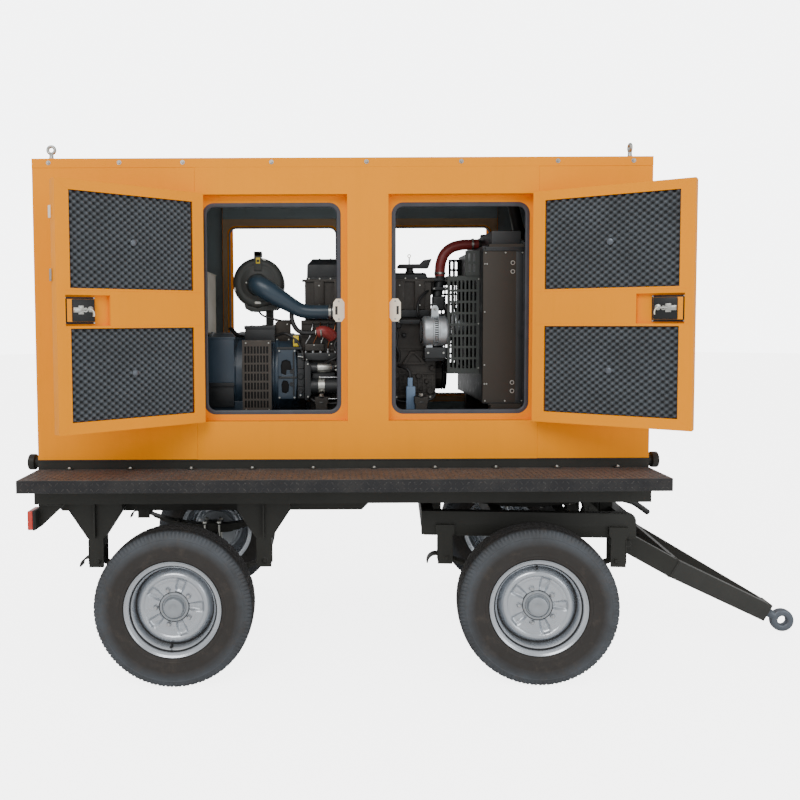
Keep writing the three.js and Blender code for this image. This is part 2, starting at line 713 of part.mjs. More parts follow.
// ---------------------------------------------------------------- engine bay
function engineBlock() {
  const pieces = [
    block([-220, 500], [-165, 165], [1300, BLOCK_TOP]),
    block([-200, 480], [-130, 130], [BLOCK_TOP - 20, HEAD_TOP]),
    block([-170, 400], [-120, 120], [1130, 1320]),
    rod([FLYWHEEL_REAR_X, 0, CRANK_Z], [-200, 0, CRANK_Z], 215, 24),
    rod([490, 0, CRANK_Z], [545, 0, CRANK_Z], 95, 20),
    rod([490, 0, FAN_Z], [594, 0, FAN_Z], 55, 16),
    block([440, 540], [-60, 60], [1860, 1955]),
    block([-60, 420], [120, 215], [1740, 1850]),
  ];
  for (const x of [-110, 410]) {
    for (const side of [NEAR, FAR]) {
      pieces.push(block([x - 35, x + 35], span(side * 160, side * 300), [1284, 1320]));
      pieces.push(block([x - 30, x + 30], span(side * 240, side * 300), [BAY_FLOOR, 1290]));
    }
  }
  return join(...pieces);
}

function rockerCover() {
  const half = 95;
  const profile = outline([
    [-half, HEAD_TOP + GAP], [half, HEAD_TOP + GAP], [half, 2020],
    [half - 30, 2055], [-half + 30, 2055], [-half, 2020],
  ]);
  const filler = rod([350, 0, 2050], [350, 0, 2078], 30, 14);
  return join(extrudeAlongX(profile, [-190, 430]), filler);
}

function generatorBody() {
  const frontX = FLYWHEEL_REAR_X - GAP;
  const pieces = [
    rod([-722, 0, CRANK_Z], [frontX, 0, CRANK_Z], 225, 28),
    rod([-1010, 0, CRANK_Z], [-700, 0, CRANK_Z], 195, 24),
    block([-525, -374.5], [-252, 252], [1248, 1611]),
    block([-518, -361], [-150, 150], [1560, 1690]),
  ];
  for (const side of [NEAR, FAR]) {
    pieces.push(block([-950, -420], span(side * 120, side * 190), [BAY_FLOOR, 1290]));
  }
  return join(...pieces);
}

function airFilter() {
  const drum = rod([-455, -130, 1918], [-455, 170, 1918], 129, 24);
  const outlet = rod([-425, -157, 1884], [-425, -128, 1884], 36, 12);
  const foot = block([-420, -380], [-20, 60], [1690 + GAP, 1850]);
  return join(drum, outlet, foot);
}

function intakePipe() {
  const points = [
    [-450, 1898], [-380, 1862], [-300, 1812], [-250, 1782],
    [-200, 1768], [-130, INTAKE_Z], [-60, INTAKE_Z], [0, INTAKE_Z],
  ].map(([x, z]) => [x, INTAKE_Y, z]);
  const turboInlet = rod([-2, INTAKE_Y, INTAKE_Z], [60, INTAKE_Y, INTAKE_Z], 44, 12);
  return join(tube(points, 37.5, 10, 12), turboInlet);
}

function silencer() {
  const can = rod([1230, -330, 2190], [1230, 330, 2190], 110, 24);
  const inlet = rod([1140, 120, 2190], [1060, 120, 2190], 35, 14);
  const outlet = rod([1230, -200, 2280], [1230, -200, 2440], 35, 14);
  return join(can, inlet, outlet);
}

function radiator() {
  const core = block([RADIATOR_REAR_X, 918], [-400, 400], [1286, 2100]);
  const topTank = block([760, 900], [-370, 370], [2090, 2165]);
  const neck = rod([745, HOSE_Y, HOSE_TOP_Z], [765, HOSE_Y, HOSE_TOP_Z], 24, 10);
  const feet = [NEAR, FAR].map((side) => (
    block([750, 905], span(side * 340, side * 400), [BAY_FLOOR, 1300])
  ));
  return join(core, topTank, neck, ...feet);
}

function fanGuard() {
  const sheet = 4;
  const x = [564, RADIATOR_REAR_X - GAP];
  const cage = cut(
    block(x, [-300, 300], [1440, 1950]),
    block([x[0] - 1, x[1] + 1], [-300 + sheet, 300 - sheet], [1440 + sheet, 1950 - sheet]),
  );
  const shroud = cut(
    block([x[1] - 30, x[1]], [-385, 385], [1300, 2094]),
    rod([x[1] - 40, 0, FAN_Z], [x[1] + 10, 0, FAN_Z], 248, 28),
  );
  return join(cage, shroud);
}

function engineFan() {
  const blades = 6;
  const pieces = [rod([-34, 0, 0], [26, 0, 0], 72, 20)];
  for (let i = 0; i < blades; i += 1) {
    const blade = new THREE.BoxGeometry(6, 86, FAN_RADIUS - 62);
    blade.rotateZ(rad(-32)).translate(0, 0, (FAN_RADIUS + 62) / 2);
    pieces.push(blade.rotateX((i * 2 * Math.PI) / blades));
  }
  return join(...pieces);
}

function coolantHose() {
  const points = [
    [524, 1955 + GAP], [524, 1985], [530, 2040], [560, 2095],
    [610, 2122], [670, HOSE_TOP_Z], [710, HOSE_TOP_Z], [745 - GAP, HOSE_TOP_Z],
  ].map(([x, z]) => [x, HOSE_Y, z]);
  return tube(points, 28, 10, 14);
}

function starterMotor() {
  const motor = rod([-199, -218, 1375], [2, -218, 1375], 45, 16);
  const solenoid = rod([-199, -222, 1457], [-58, -222, 1457], 29, 14);
  const nose = block([-199, -160], [-250, -190], [1370, 1460]);
  return join(motor, solenoid, nose);
}

function chargingAlternator() {
  const body = rod([410, -262, 1668], [552, -262, 1668], 78, 20);
  const pulley = rod([550, -262, 1668], [561, -262, 1668], 34, 14);
  const bracket = block([430, 470], [-200, -165.5], [1640, 1690]);
  return join(body, pulley, bracket);
}

function controlCabinet() {
  return block([-1160, -735], [-260, 260], [1640, 1985]);
}

function fuelTank() {
  return extrudeAlongX(roundedOutline([-380, 380], [BAY_FLOOR, 1440], 40, 3), [-1440, -1040]);
}

function battery() {
  const top = BAY_FLOOR + 190;
  const box = block([-60, 270], [315, 440], [BAY_FLOOR, top]);
  const posts = [0, 210].map((x) => rod([x, 378, top - 2], [x, 378, top + 15], 9, 8));
  return join(box, ...posts);
}

// ---------------------------------------------------------------- assembly
add(trailer, "deck_platform", deckPlatform(), "deck_plate");
add(trailer, "chassis_frame", chassisFrame(), "black_paint");
add(trailer, "turntable_ring", turntableRing(), "black_paint");
add(trailer, "skid_base", skidBase(), "black_paint");
add(trailer, "rear_wall", louvredWall(-CANOPY_HALF_LENGTH, [-330, 330], [1120, 1480], 8), "amber_paint");
add(trailer, "front_wall", louvredWall(CANOPY_HALF_LENGTH, [-380, 380], [1250, 2050], 12), "amber_paint");
add(trailer, "roof_panel", roofPanel(), "amber_paint");
for (const side of [NEAR, FAR]) {
  const label = sideName(side);
  const rearPanel = sidePanel(side, [-CANOPY_HALF_LENGTH, SEAM_REAR_X - GAP]);
  const frontPanel = sidePanel(side, [SEAM_FRONT_X + GAP, CANOPY_HALF_LENGTH]);
  add(trailer, `${label}_rear_panel`, rearPanel, "amber_paint");
  add(trailer, `${label}_front_panel`, frontPanel, "amber_paint");
  add(trailer, `${label}_door_frame`, doorFrame(side), "amber_paint");
  add(trailer, `${label}_tail_light`, tailLight(side), "lens");
  addDoor(side, "rear");
  addDoor(side, "front");
}
add(trailer, "engine_block", engineBlock(), "cast_iron");
add(trailer, "rocker_cover", rockerCover(), "engine_black");
add(trailer, "generator_body", generatorBody(), "engine_black");
add(trailer, "air_filter", airFilter(), "engine_black");
add(trailer, "intake_pipe", intakePipe(), "blue_grey");
add(trailer, "silencer", silencer(), "engine_black");
add(trailer, "radiator", radiator(), "engine_black");
add(trailer, "fan_guard", fanGuard(), "engine_black");
add(trailer, "coolant_hose", coolantHose(), "hose");
add(trailer, "starter_motor", starterMotor(), "engine_black");
add(trailer, "charging_alternator", chargingAlternator(), "aluminium");
add(trailer, "control_cabinet", controlCabinet(), "cabinet");
add(trailer, "fuel_tank", fuelTank(), "engine_black");
add(trailer, "battery", battery(), "latch");
add(groupAt(trailer, FAN_X, 0, FAN_Z), "engine_fan", engineFan(), "engine_black");
addAxle(groupAt(trailer, REAR_AXLE_X, 0, 0), "rear");
addBogie();

// the origin is the centre of the footprint, at ground level
generator.updateMatrixWorld(true);
const bounds = new THREE.Box3().setFromObject(generator, true);
const centre = bounds.getCenter(new THREE.Vector3());
trailer.position.set(-centre.x, -centre.y, -bounds.min.z);

export default generator;
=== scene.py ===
"""A towable diesel generator: an amber sound-proof canopy with open doors on a four-wheel trailer."""
import math

import bpy
import bmesh
from mathutils import Matrix, Vector, geometry, noise


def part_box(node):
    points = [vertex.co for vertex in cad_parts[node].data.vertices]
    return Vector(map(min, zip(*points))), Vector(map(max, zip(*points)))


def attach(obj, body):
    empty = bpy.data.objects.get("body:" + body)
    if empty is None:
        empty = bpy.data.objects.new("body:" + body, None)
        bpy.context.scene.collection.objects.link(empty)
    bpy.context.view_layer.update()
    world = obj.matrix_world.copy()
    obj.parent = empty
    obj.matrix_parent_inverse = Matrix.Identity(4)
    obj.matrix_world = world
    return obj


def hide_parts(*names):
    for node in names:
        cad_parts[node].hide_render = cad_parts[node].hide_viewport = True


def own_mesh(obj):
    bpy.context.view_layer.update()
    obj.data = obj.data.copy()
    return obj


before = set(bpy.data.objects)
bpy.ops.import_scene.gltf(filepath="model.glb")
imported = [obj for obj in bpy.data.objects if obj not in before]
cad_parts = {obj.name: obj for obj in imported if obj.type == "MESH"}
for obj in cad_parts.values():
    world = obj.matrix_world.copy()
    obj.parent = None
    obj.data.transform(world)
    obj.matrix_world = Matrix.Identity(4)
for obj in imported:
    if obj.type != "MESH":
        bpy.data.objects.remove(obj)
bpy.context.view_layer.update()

# ------------------------------------------------------------------ places
# Pieces are drawn in millimetres from the middle of the deck. Camera, lights and floor are in metres.
deck_lo, deck_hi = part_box("deck_platform")
MIDDLE_X = (deck_lo.x + deck_hi.x) / 2
TRAILER = Matrix.Translation((MIDDLE_X, 0, 0)) @ Matrix.Scale(0.001, 4)
NEAR, FAR = -1, 1
BOTH = (NEAR, FAR)
SIDES = ((NEAR, "near"), (FAR, "far"))
AHEAD, ASTERN = (1, 0, 0), (-1, 0, 0)
TO_NEAR, TO_FAR = (0, -1, 0), (0, 1, 0)
DOWN, UP = (0, 0, -1), (0, 0, 1)
BOGIE_X, REAR_AXLE_X, AXLE_Z = 967, -803, 375
BOGIE_TURN = -4.5                  # degrees, as the photo shows it
DRAWBAR_X, DRAWBAR_Z = 498, 590    # drawbar pin, from the bogie's middle
DRAWBAR_LENGTH, DRAWBAR_DROP = 1092, 528
SPRING_Y, WHEEL_Y = 500, 710
REAR_PIN_X, FRONT_PIN_X, PIN_Y = -708, 944, 536
REAR_OPEN, FRONT_OPEN = 141, 147.3  # degrees
HINGES_Z = (1330, 1760, 2190)
SHAFT_Z, FAN_Z = 1430, 1695


def share(value):
    """The value held between 0 and 1."""
    return min(1, max(0, value))


def turned_z(degrees):
    return Matrix.Rotation(math.radians(degrees), 4, "Z")


BOGIE = TRAILER @ Matrix.Translation((BOGIE_X, 0, 0)) @ turned_z(BOGIE_TURN)
DRAWBAR_SLOPE = math.asin(DRAWBAR_DROP / DRAWBAR_LENGTH)
DRAWBAR = BOGIE @ Matrix.Translation((DRAWBAR_X, 0, DRAWBAR_Z)) @ Matrix.Rotation(DRAWBAR_SLOPE, 4, "Y")
REAR_AXLE = TRAILER @ Matrix.Translation((REAR_AXLE_X, 0, AXLE_Z))
FRONT_AXLE = BOGIE @ Matrix.Translation((0, 0, AXLE_Z))


def door_matrix(side, end):
    """Door coordinates: s along the door from the hinge pin, depth inwards, height."""
    along = 1 if end == "rear" else -1
    pin_x, opened = (REAR_PIN_X, REAR_OPEN) if end == "rear" else (FRONT_PIN_X, FRONT_OPEN)
    return (TRAILER @ Matrix.Translation((pin_x, side * PIN_Y, 0)) @ turned_z(side * along * opened)
            @ Matrix.Diagonal((along, -side, 1, 1)))


# ------------------------------------------------------------------ materials
def linear(rgb):
    """An sRGB colour, 0 to 255, as the linear values that the nodes take."""
    shares = [c / 255 for c in rgb]
    return tuple(c / 12.92 if c <= 0.04045 else ((c + 0.055) / 1.055) ** 2.4 for c in shares)


def scaled(rgb, factor):
    """A linear colour made darker or lighter."""
    return tuple(min(1, c * factor) for c in rgb)


class Shader:
    """A Principled material built from small node steps."""

    def __init__(self, name):
        self.mat = bpy.data.materials.new(name)
        self.mat.use_nodes = True
        self.nodes = self.mat.node_tree.nodes
        self.links = self.mat.node_tree.links
        self.bsdf = self.nodes["Principled BSDF"]
        self.coord = self.nodes.new("ShaderNodeTexCoord")

    def put(self, socket, value):
        """Link another node's output to the socket, or give it a plain value."""
        if isinstance(value, bpy.types.NodeSocket):
            self.links.new(value, socket)
        else:
            socket.default_value = (*value, 1.0) if socket.type == "RGBA" else value

    def node(self, kind, values=None, **attrs):
        n = self.nodes.new(kind)
        for key, value in attrs.items():
            setattr(n, key, value)
        for key, value in (values or {}).items():
            self.put(n.inputs[key], value)
        return n

    def noise(self, scale, detail=3.0, rough=0.55, stretch=None):
        vector = self.coord.outputs["Object"]
        if stretch:
            vector = self.node("ShaderNodeMapping", {"Vector": vector, "Scale": stretch}).outputs[0]
        return self.node("ShaderNodeTexNoise", {"Vector": vector, "Scale": scale, "Detail": detail,
                                                "Roughness": rough}).outputs["Fac"]

    def spread(self, value, low, high, to_low=0.0, to_high=1.0):
        return self.node("ShaderNodeMapRange", {"Value": value, "From Min": low, "From Max": high,
                                                "To Min": to_low, "To Max": to_high}, clamp=True).outputs[0]

    def math(self, operation, a, b=0.0):
        return self.node("ShaderNodeMath", {0: a, 1: b}, operation=operation).outputs[0]

    def mix(self, factor, a, b):
        return self.node("ShaderNodeMix", {0: factor, 6: a, 7: b}, data_type="RGBA").outputs[2]

    def bump(self, height, strength, distance):
        values = {"Height": height, "Strength": strength, "Distance": distance}
        return self.node("ShaderNodeBump", values).outputs[0]

    def edges(self, radius_mm=2.5):
        """1 on sharp edges, 0 on flat faces."""
        soft = self.node("ShaderNodeBevel", {"Radius": radius_mm / 1000}, samples=4).outputs[0]
        sharp = self.node("ShaderNodeNewGeometry").outputs["Normal"]
        dot = self.node("ShaderNodeVectorMath", {0: soft, 1: sharp},
                        operation="DOT_PRODUCT").outputs["Value"]
        return self.spread(dot, 0.985, 0.93)

    def facing_up(self):
        normal = self.node("ShaderNodeSeparateXYZ", {0: self.coord.outputs["Normal"]}).outputs[2]
        return self.spread(normal, 0.55, 0.95)

    def finish(self, color, rough, metal, normal, **fixed):
        values = {"Base Color": color, "Roughness": rough, "Metallic": metal, "Normal": normal, **fixed}
        for name, value in values.items():
            self.put(self.bsdf.inputs[name.replace("_", " ")], value)
        return self.mat


def enamel(name, rgb, rough=0.4, variation=0.06, wear_rgb=None, wear=0.5, dust_rgb=None, dust=0.3,
           peel=0.05, metal=0.0, streaks=0.0, grain=900, edge_mm=2.5, gloss=0.5):
    """Sprayed paint: slow colour drift, orange peel, rubbed edges and dust on what faces up."""
    s = Shader(name)
    base = linear(rgb)
    drift = s.spread(s.noise(1.7, 4), 0.3, 0.7)
    darker = scaled(base, 1 - variation)
    lighter = scaled(base, 1 + variation)
    color = s.mix(drift, darker, lighter)
    rough_value = s.spread(s.noise(9, 5), 0.3, 0.75, rough - 0.07, rough + 0.1)
    if streaks:
        runs = s.spread(s.noise(6, 4, stretch=(4, 4, 0.25)), 0.5, 0.72, 0, streaks)
        color = s.mix(runs, color, scaled(base, 0.62))
    if dust_rgb:
        patch = s.spread(s.noise(7, 6, 0.65), 0.35, 0.7, 0.15, 1.0)
        amount = s.math("MULTIPLY", s.math("MULTIPLY", patch, s.facing_up()), dust)
        color = s.mix(amount, color, linear(dust_rgb))
    if wear_rgb:
        chips = s.spread(s.noise(38, 5, 0.7), 0.42, 0.62)
        worn = s.math("MULTIPLY", s.math("MULTIPLY", s.edges(edge_mm), chips), wear)
        color = s.mix(worn, color, linear(wear_rgb))
    normal = s.bump(s.noise(grain, 2), peel, 0.0006)
    return s.finish(color, rough_value, metal, normal, Specular_IOR_Level=gloss)


def bare_metal(name, rgb, rough=0.35, brushed=(1, 1, 1), scale=60, bump=0.15, metal=1.0, dirt=0.25):
    """Plated or bare metal with grime."""
    s = Shader(name)
    base = linear(rgb)
    mottled = s.spread(s.noise(scale, 5, 0.6, brushed), 0.3, 0.72)
    color = s.mix(mottled, scaled(base, 0.8), scaled(base, 1.08))
    grime = s.spread(s.noise(14, 6, 0.7), 0.5, 0.75, 0, dirt)
    color = s.mix(grime, color, scaled(base, 0.32))
    rough_value = s.spread(mottled, 0, 1, rough + 0.1, rough - 0.06)
    normal = s.bump(s.noise(scale * 6, 4, 0.6, brushed), bump, 0.0005)
    return s.finish(color, rough_value, metal, normal)


def rubber(name, rgb, rough=0.6, bump=0.12, scale=240, dust_rgb=None, dust=0.4):
    """Black or coloured rubber with a fine grain and dust in patches."""
    s = Shader(name)
    base = linear(rgb)
    color = s.mix(s.spread(s.noise(11, 5), 0.3, 0.7), scaled(base, 0.8), scaled(base, 1.18))
    if dust_rgb:
        patch = s.spread(s.noise(23, 6, 0.7), 0.42, 0.68, 0, dust)
        color = s.mix(patch, color, linear(dust_rgb))
    normal = s.bump(s.noise(scale, 3), bump, 0.0008)
    return s.finish(color, s.spread(s.noise(30, 3), 0.3, 0.7, rough - 0.06, rough + 0.08), 0.0, normal)


def cast(name, rgb, rough=0.55, bump=0.5, variation=0.25, oil=0.3, metal=0.25):
    """Painted casting: rough skin, oily patches, edges rubbed paler."""
    s = Shader(name)
    base = linear(rgb)
    color = s.mix(s.spread(s.noise(9, 6, 0.65), 0.32, 0.7), scaled(base, 1 - variation),
                  scaled(base, 1 + variation))
    wet = s.spread(s.noise(16, 5, 0.7), 0.52, 0.7, 0, oil)
    color = s.mix(wet, color, scaled(base, 0.4))
    worn = s.math("MULTIPLY", s.edges(2.0), s.spread(s.noise(60, 4), 0.45, 0.6, 0, 0.55))
    color = s.mix(worn, color, tuple(min(1, c * 3.2 + 0.02) for c in base))
    rough_value = s.spread(wet, 0, oil or 1, rough, rough - 0.2)
    normal = s.bump(s.noise(310, 5, 0.65), bump, 0.0011)
    return s.finish(color, rough_value, metal, normal)


def foam_material(name, rgb, valley_shade=0.16):
    """Open foam with painted shade where the crest attribute is low and a painted highlight where it is
    high.
    """
    s = Shader(name)
    base = linear(rgb)
    pores = s.node("ShaderNodeTexVoronoi", {"Vector": s.coord.outputs["Object"],
                                            "Scale": 520.0}).outputs["Distance"]
    # painted highlight: the colour that the crests take is lifted above the base
    color = s.mix(s.spread(s.noise(6, 4), 0.3, 0.7), scaled(base, 1.25), scaled(base, 1.6))
    height = s.node("ShaderNodeAttribute", attribute_name="crest").outputs["Fac"]
    # painted shade: where the crest attribute is low the colour drops to a much darker copy of the base
    color = s.mix(s.spread(height, 0.30, 0.95), scaled(base, valley_shade), color)
    normal = s.bump(pores, 0.35, 0.0009)
    return s.finish(color, 0.86, 0.0, normal, Sheen_Weight=0.25, Sheen_Roughness=0.5)


def tyre_material(name):
    """Rubber that differs over the wall, the shoulder and the tread; the shoulder's lighter, bluer band is
    a painted sheen.
    """
    s = Shader(name)
    ring = s.node("ShaderNodeAttribute", attribute_name="ring").outputs["Fac"]
    # painted sheen: the shoulder colour is lighter and bluer than the wall, standing in for the backdrop's
    # reflection on the rounded shoulder
    wall, shoulder, tread = linear((50, 47, 45)), linear((74, 78, 83)), linear((43, 42, 42))
    color = s.mix(s.spread(ring, 0.50, 0.74), wall, shoulder)
    color = s.mix(s.spread(ring, 0.95, 0.985), color, tread)
    scuff = s.spread(s.noise(5, 6, 0.7), 0.38, 0.66)
    color = s.mix(s.math("MULTIPLY", scuff, 0.5), color, linear((44, 41, 38)))
    mud = s.spread(s.noise(17, 6, 0.72), 0.53, 0.68, 0, 0.35)
    color = s.mix(mud, color, linear((78, 70, 63)))
    normal = s.bump(s.noise(170, 4, 0.6), 0.22, 0.0012)
    return s.finish(color, s.spread(s.noise(22, 4), 0.3, 0.7, 0.52, 0.7), 0.0, normal,
                    Specular_IOR_Level=0.3)


def plate_material(name):
    """Worn checker plate: dark paint with brown rust and scuffed metal, and painted shade on the faces that
    do not face up.
    """
    s = Shader(name)
    paint, rust, dust = linear((74, 72, 71)), linear((92, 83, 77)), linear((112, 109, 106))
    patches = s.spread(s.noise(2.1, 6, 0.62), 0.40, 0.66)
    color = s.mix(s.math("MULTIPLY", patches, 0.75), paint, rust)
    color = s.mix(s.spread(s.noise(19, 6, 0.7), 0.5, 0.72, 0, 0.5), color, dust)
    worn = s.math("MULTIPLY", s.edges(2.0), s.spread(s.noise(30, 4), 0.35, 0.6, 0, 0.55))
    color = s.mix(worn, color, linear((140, 136, 130)))
    # painted shade: faces that do not face up, the lozenges' flanks and the plate's edges, take this darker
    # colour
    side = s.mix(s.spread(s.noise(9, 5, 0.65), 0.45, 0.7, 0, 0.5), linear((38, 38, 40)),
                 linear((60, 58, 56)))
    side = s.mix(worn, side, linear((110, 108, 104)))
    color = s.mix(s.facing_up(), side, color)
    normal = s.bump(s.noise(140, 5, 0.6), 0.28, 0.0012)
    return s.finish(color, s.spread(s.noise(12, 4), 0.3, 0.7, 0.5, 0.72), 0.0, normal,
                    Specular_IOR_Level=0.25)


def lens_material(name, rgb):
    """A moulded lamp lens."""
    s = Shader(name)
    base = linear(rgb)
    color = s.mix(s.spread(s.noise(25, 3), 0.3, 0.7), base, scaled(base, 0.75))
    normal = s.bump(s.noise(260, 1, stretch=(1, 1, 3)), 0.25, 0.001)
    return s.finish(color, 0.24, 0.0, normal, Coat_Weight=0.6)


MATS = {
    "amber": enamel("amber_enamel", (250, 153, 0), 0.44, 0.03, (190, 120, 20), 0.2, peel=0.06, streaks=0.06,
                    edge_mm=1.5, gloss=0.06),
    "black": enamel("black_enamel", (50, 50, 47), 0.44, 0.14, (96, 94, 90), 0.45, (90, 84, 78), 0.2,
                    peel=0.2, streaks=0.15, grain=420, gloss=0.16),
    "plate": plate_material("checker_plate"),
    "foam": foam_material("acoustic_foam", (72, 78, 84)),
    # painted light: the lining foam is far lighter than the door foam, standing in for light inside the
    # shaded canopy; with no crest attribute it takes the 0.58 factor all over
    "lining": foam_material("lining_foam_painted_light", (172, 186, 190), 0.58),
    "gasket": rubber("gasket_rubber", (58, 62, 70), 0.42, 0.06),
    # black rubber, also used for painted shade on the wheels and strike plates
    "rubber": rubber("black_rubber_and_painted_shade", (26, 26, 27), 0.5),
    "tyre": tyre_material("tyre_rubber"),
    "wheel": enamel("wheel_silver", (182, 187, 193), 0.27, 0.06, (120, 112, 104), 0.3, (150, 140, 126), 0.3,
                    peel=0.12, metal=0.72, grain=700),
    "hub": enamel("hub_grey", (158, 163, 168), 0.38, 0.08, peel=0.12, metal=0.6),
    "zinc": bare_metal("zinc_plate", (186, 186, 180), 0.36, scale=90),
    "steel": bare_metal("bright_steel", (196, 198, 200), 0.26, (1, 8, 1)),
    "alu": bare_metal("cast_aluminium", (188, 194, 198), 0.42, scale=45, bump=0.35, metal=0.85, dirt=0.3),
    "iron": cast("engine_iron", (50, 46, 42)),
    "engine_black": cast("engine_black", (34, 36, 38), 0.5, 0.3, 0.15, 0.2, 0.1),
    "gen": enamel("generator_black", (45, 59, 72), 0.36, 0.12, (120, 124, 128), 0.35, (96, 92, 86), 0.25,
                  peel=0.18, grain=350),
    "vent": enamel("vent_plate", (64, 59, 54), 0.48, 0.08, (130, 124, 116), 0.35, peel=0.15, gloss=0.3),
    "filter": enamel("filter_black", (58, 60, 58), 0.46, 0.08, peel=0.22, grain=400, gloss=0.3),
    "pipe": enamel("pipe_blue_grey", (42, 58, 70), 0.34, 0.10, (130, 138, 142), 0.3, (96, 94, 88), 0.2,
                   peel=0.12, grain=500, gloss=0.45),
    "guard": enamel("guard_grey", (56, 59, 57), 0.46, 0.08, (110, 110, 106), 0.35, peel=0.15, gloss=0.25),
    "radiator": enamel("radiator_brown", (57, 52, 47), 0.50, 0.05, (110, 104, 96), 0.3, peel=0.15,
                       gloss=0.2),
    "hose": rubber("red_hose", (132, 44, 42), 0.38, 0.10, 160, (150, 90, 84), 0.2),
    "plastic": enamel("black_plastic", (26, 27, 28), 0.34, 0.1, peel=0.25, grain=500, gloss=0.35),
    "cabinet": enamel("cabinet_cream", (154, 142, 112), 0.42, 0.05, peel=0.1),
    "cream": enamel("cream_plastic", (238, 230, 210), 0.4, 0.05, (180, 170, 150), 0.3, peel=0.1),
    "lens": lens_material("lamp_lens", (214, 44, 14)),
    "yellow": enamel("tag_yellow", (206, 178, 20), 0.4, 0.1, peel=0.1),
    "blue_part": enamel("filter_blue", (108, 132, 160), 0.34, 0.08, (170, 178, 184), 0.3, peel=0.1),
    "lever": enamel("lever_bare", (150, 146, 138), 0.42, 0.1, (90, 86, 80), 0.4, metal=0.7),
    "eye": enamel("forged_eye", (92, 98, 106), 0.40, 0.12, (150, 152, 150), 0.4, metal=0.45, peel=0.3,
                  grain=260),
    # painted shade: the brown-grey of the door frames' shaded inner faces
    "shade_brown": enamel("inner_painted_shade", (186, 156, 124), 0.6, 0.06, peel=0.1, gloss=0.15),
    # black of the radiator slats, cables and hoses, also used for painted shade behind vents, slots and
    # windows
    "core_and_shade": enamel("deep_black_and_painted_shade", (14, 14, 14), 0.6, 0.1, peel=0.3, grain=500, gloss=0.2),
    "copper": bare_metal("copper_line", (150, 96, 66), 0.34, scale=70),
}


# ------------------------------------------------------------------ mesh kit
def frame_for(axis):
    """Two unit vectors across the axis."""
    axis = Vector(axis).normalized()
    helper = Vector(UP) if abs(axis.z) < 0.9 else Vector(AHEAD)
    u = axis.cross(helper).normalized()
    return axis, u, axis.cross(u).normalized()


PLANES = {"xy": lambda a, b, c: (a, b, c), "xz": lambda a, b, c: (a, c, b), "yz": lambda a, b, c: (c, a, b)}


def skin(rows, k, closed):
    """Quads between rows of k points. Open rows get a cap at each end."""
    faces = []
    for i in range(rows if closed else rows - 1):
        near, far = i * k, (i + 1) % rows * k
        faces += [(near + j, near + (j + 1) % k, far + (j + 1) % k, far + j) for j in range(k)]
    if not closed:
        faces += [tuple(range(k)), tuple((rows - 1) * k + j for j in range(k))]
    return faces


def cells(first, start, count, pitch, width, last):
    """Grid lines from first to last with count slots of one width between them."""
    inner = [edge for i in range(count) for edge in (start + i * pitch, start + i * pitch + width)]
    return [first] + inner + [last]


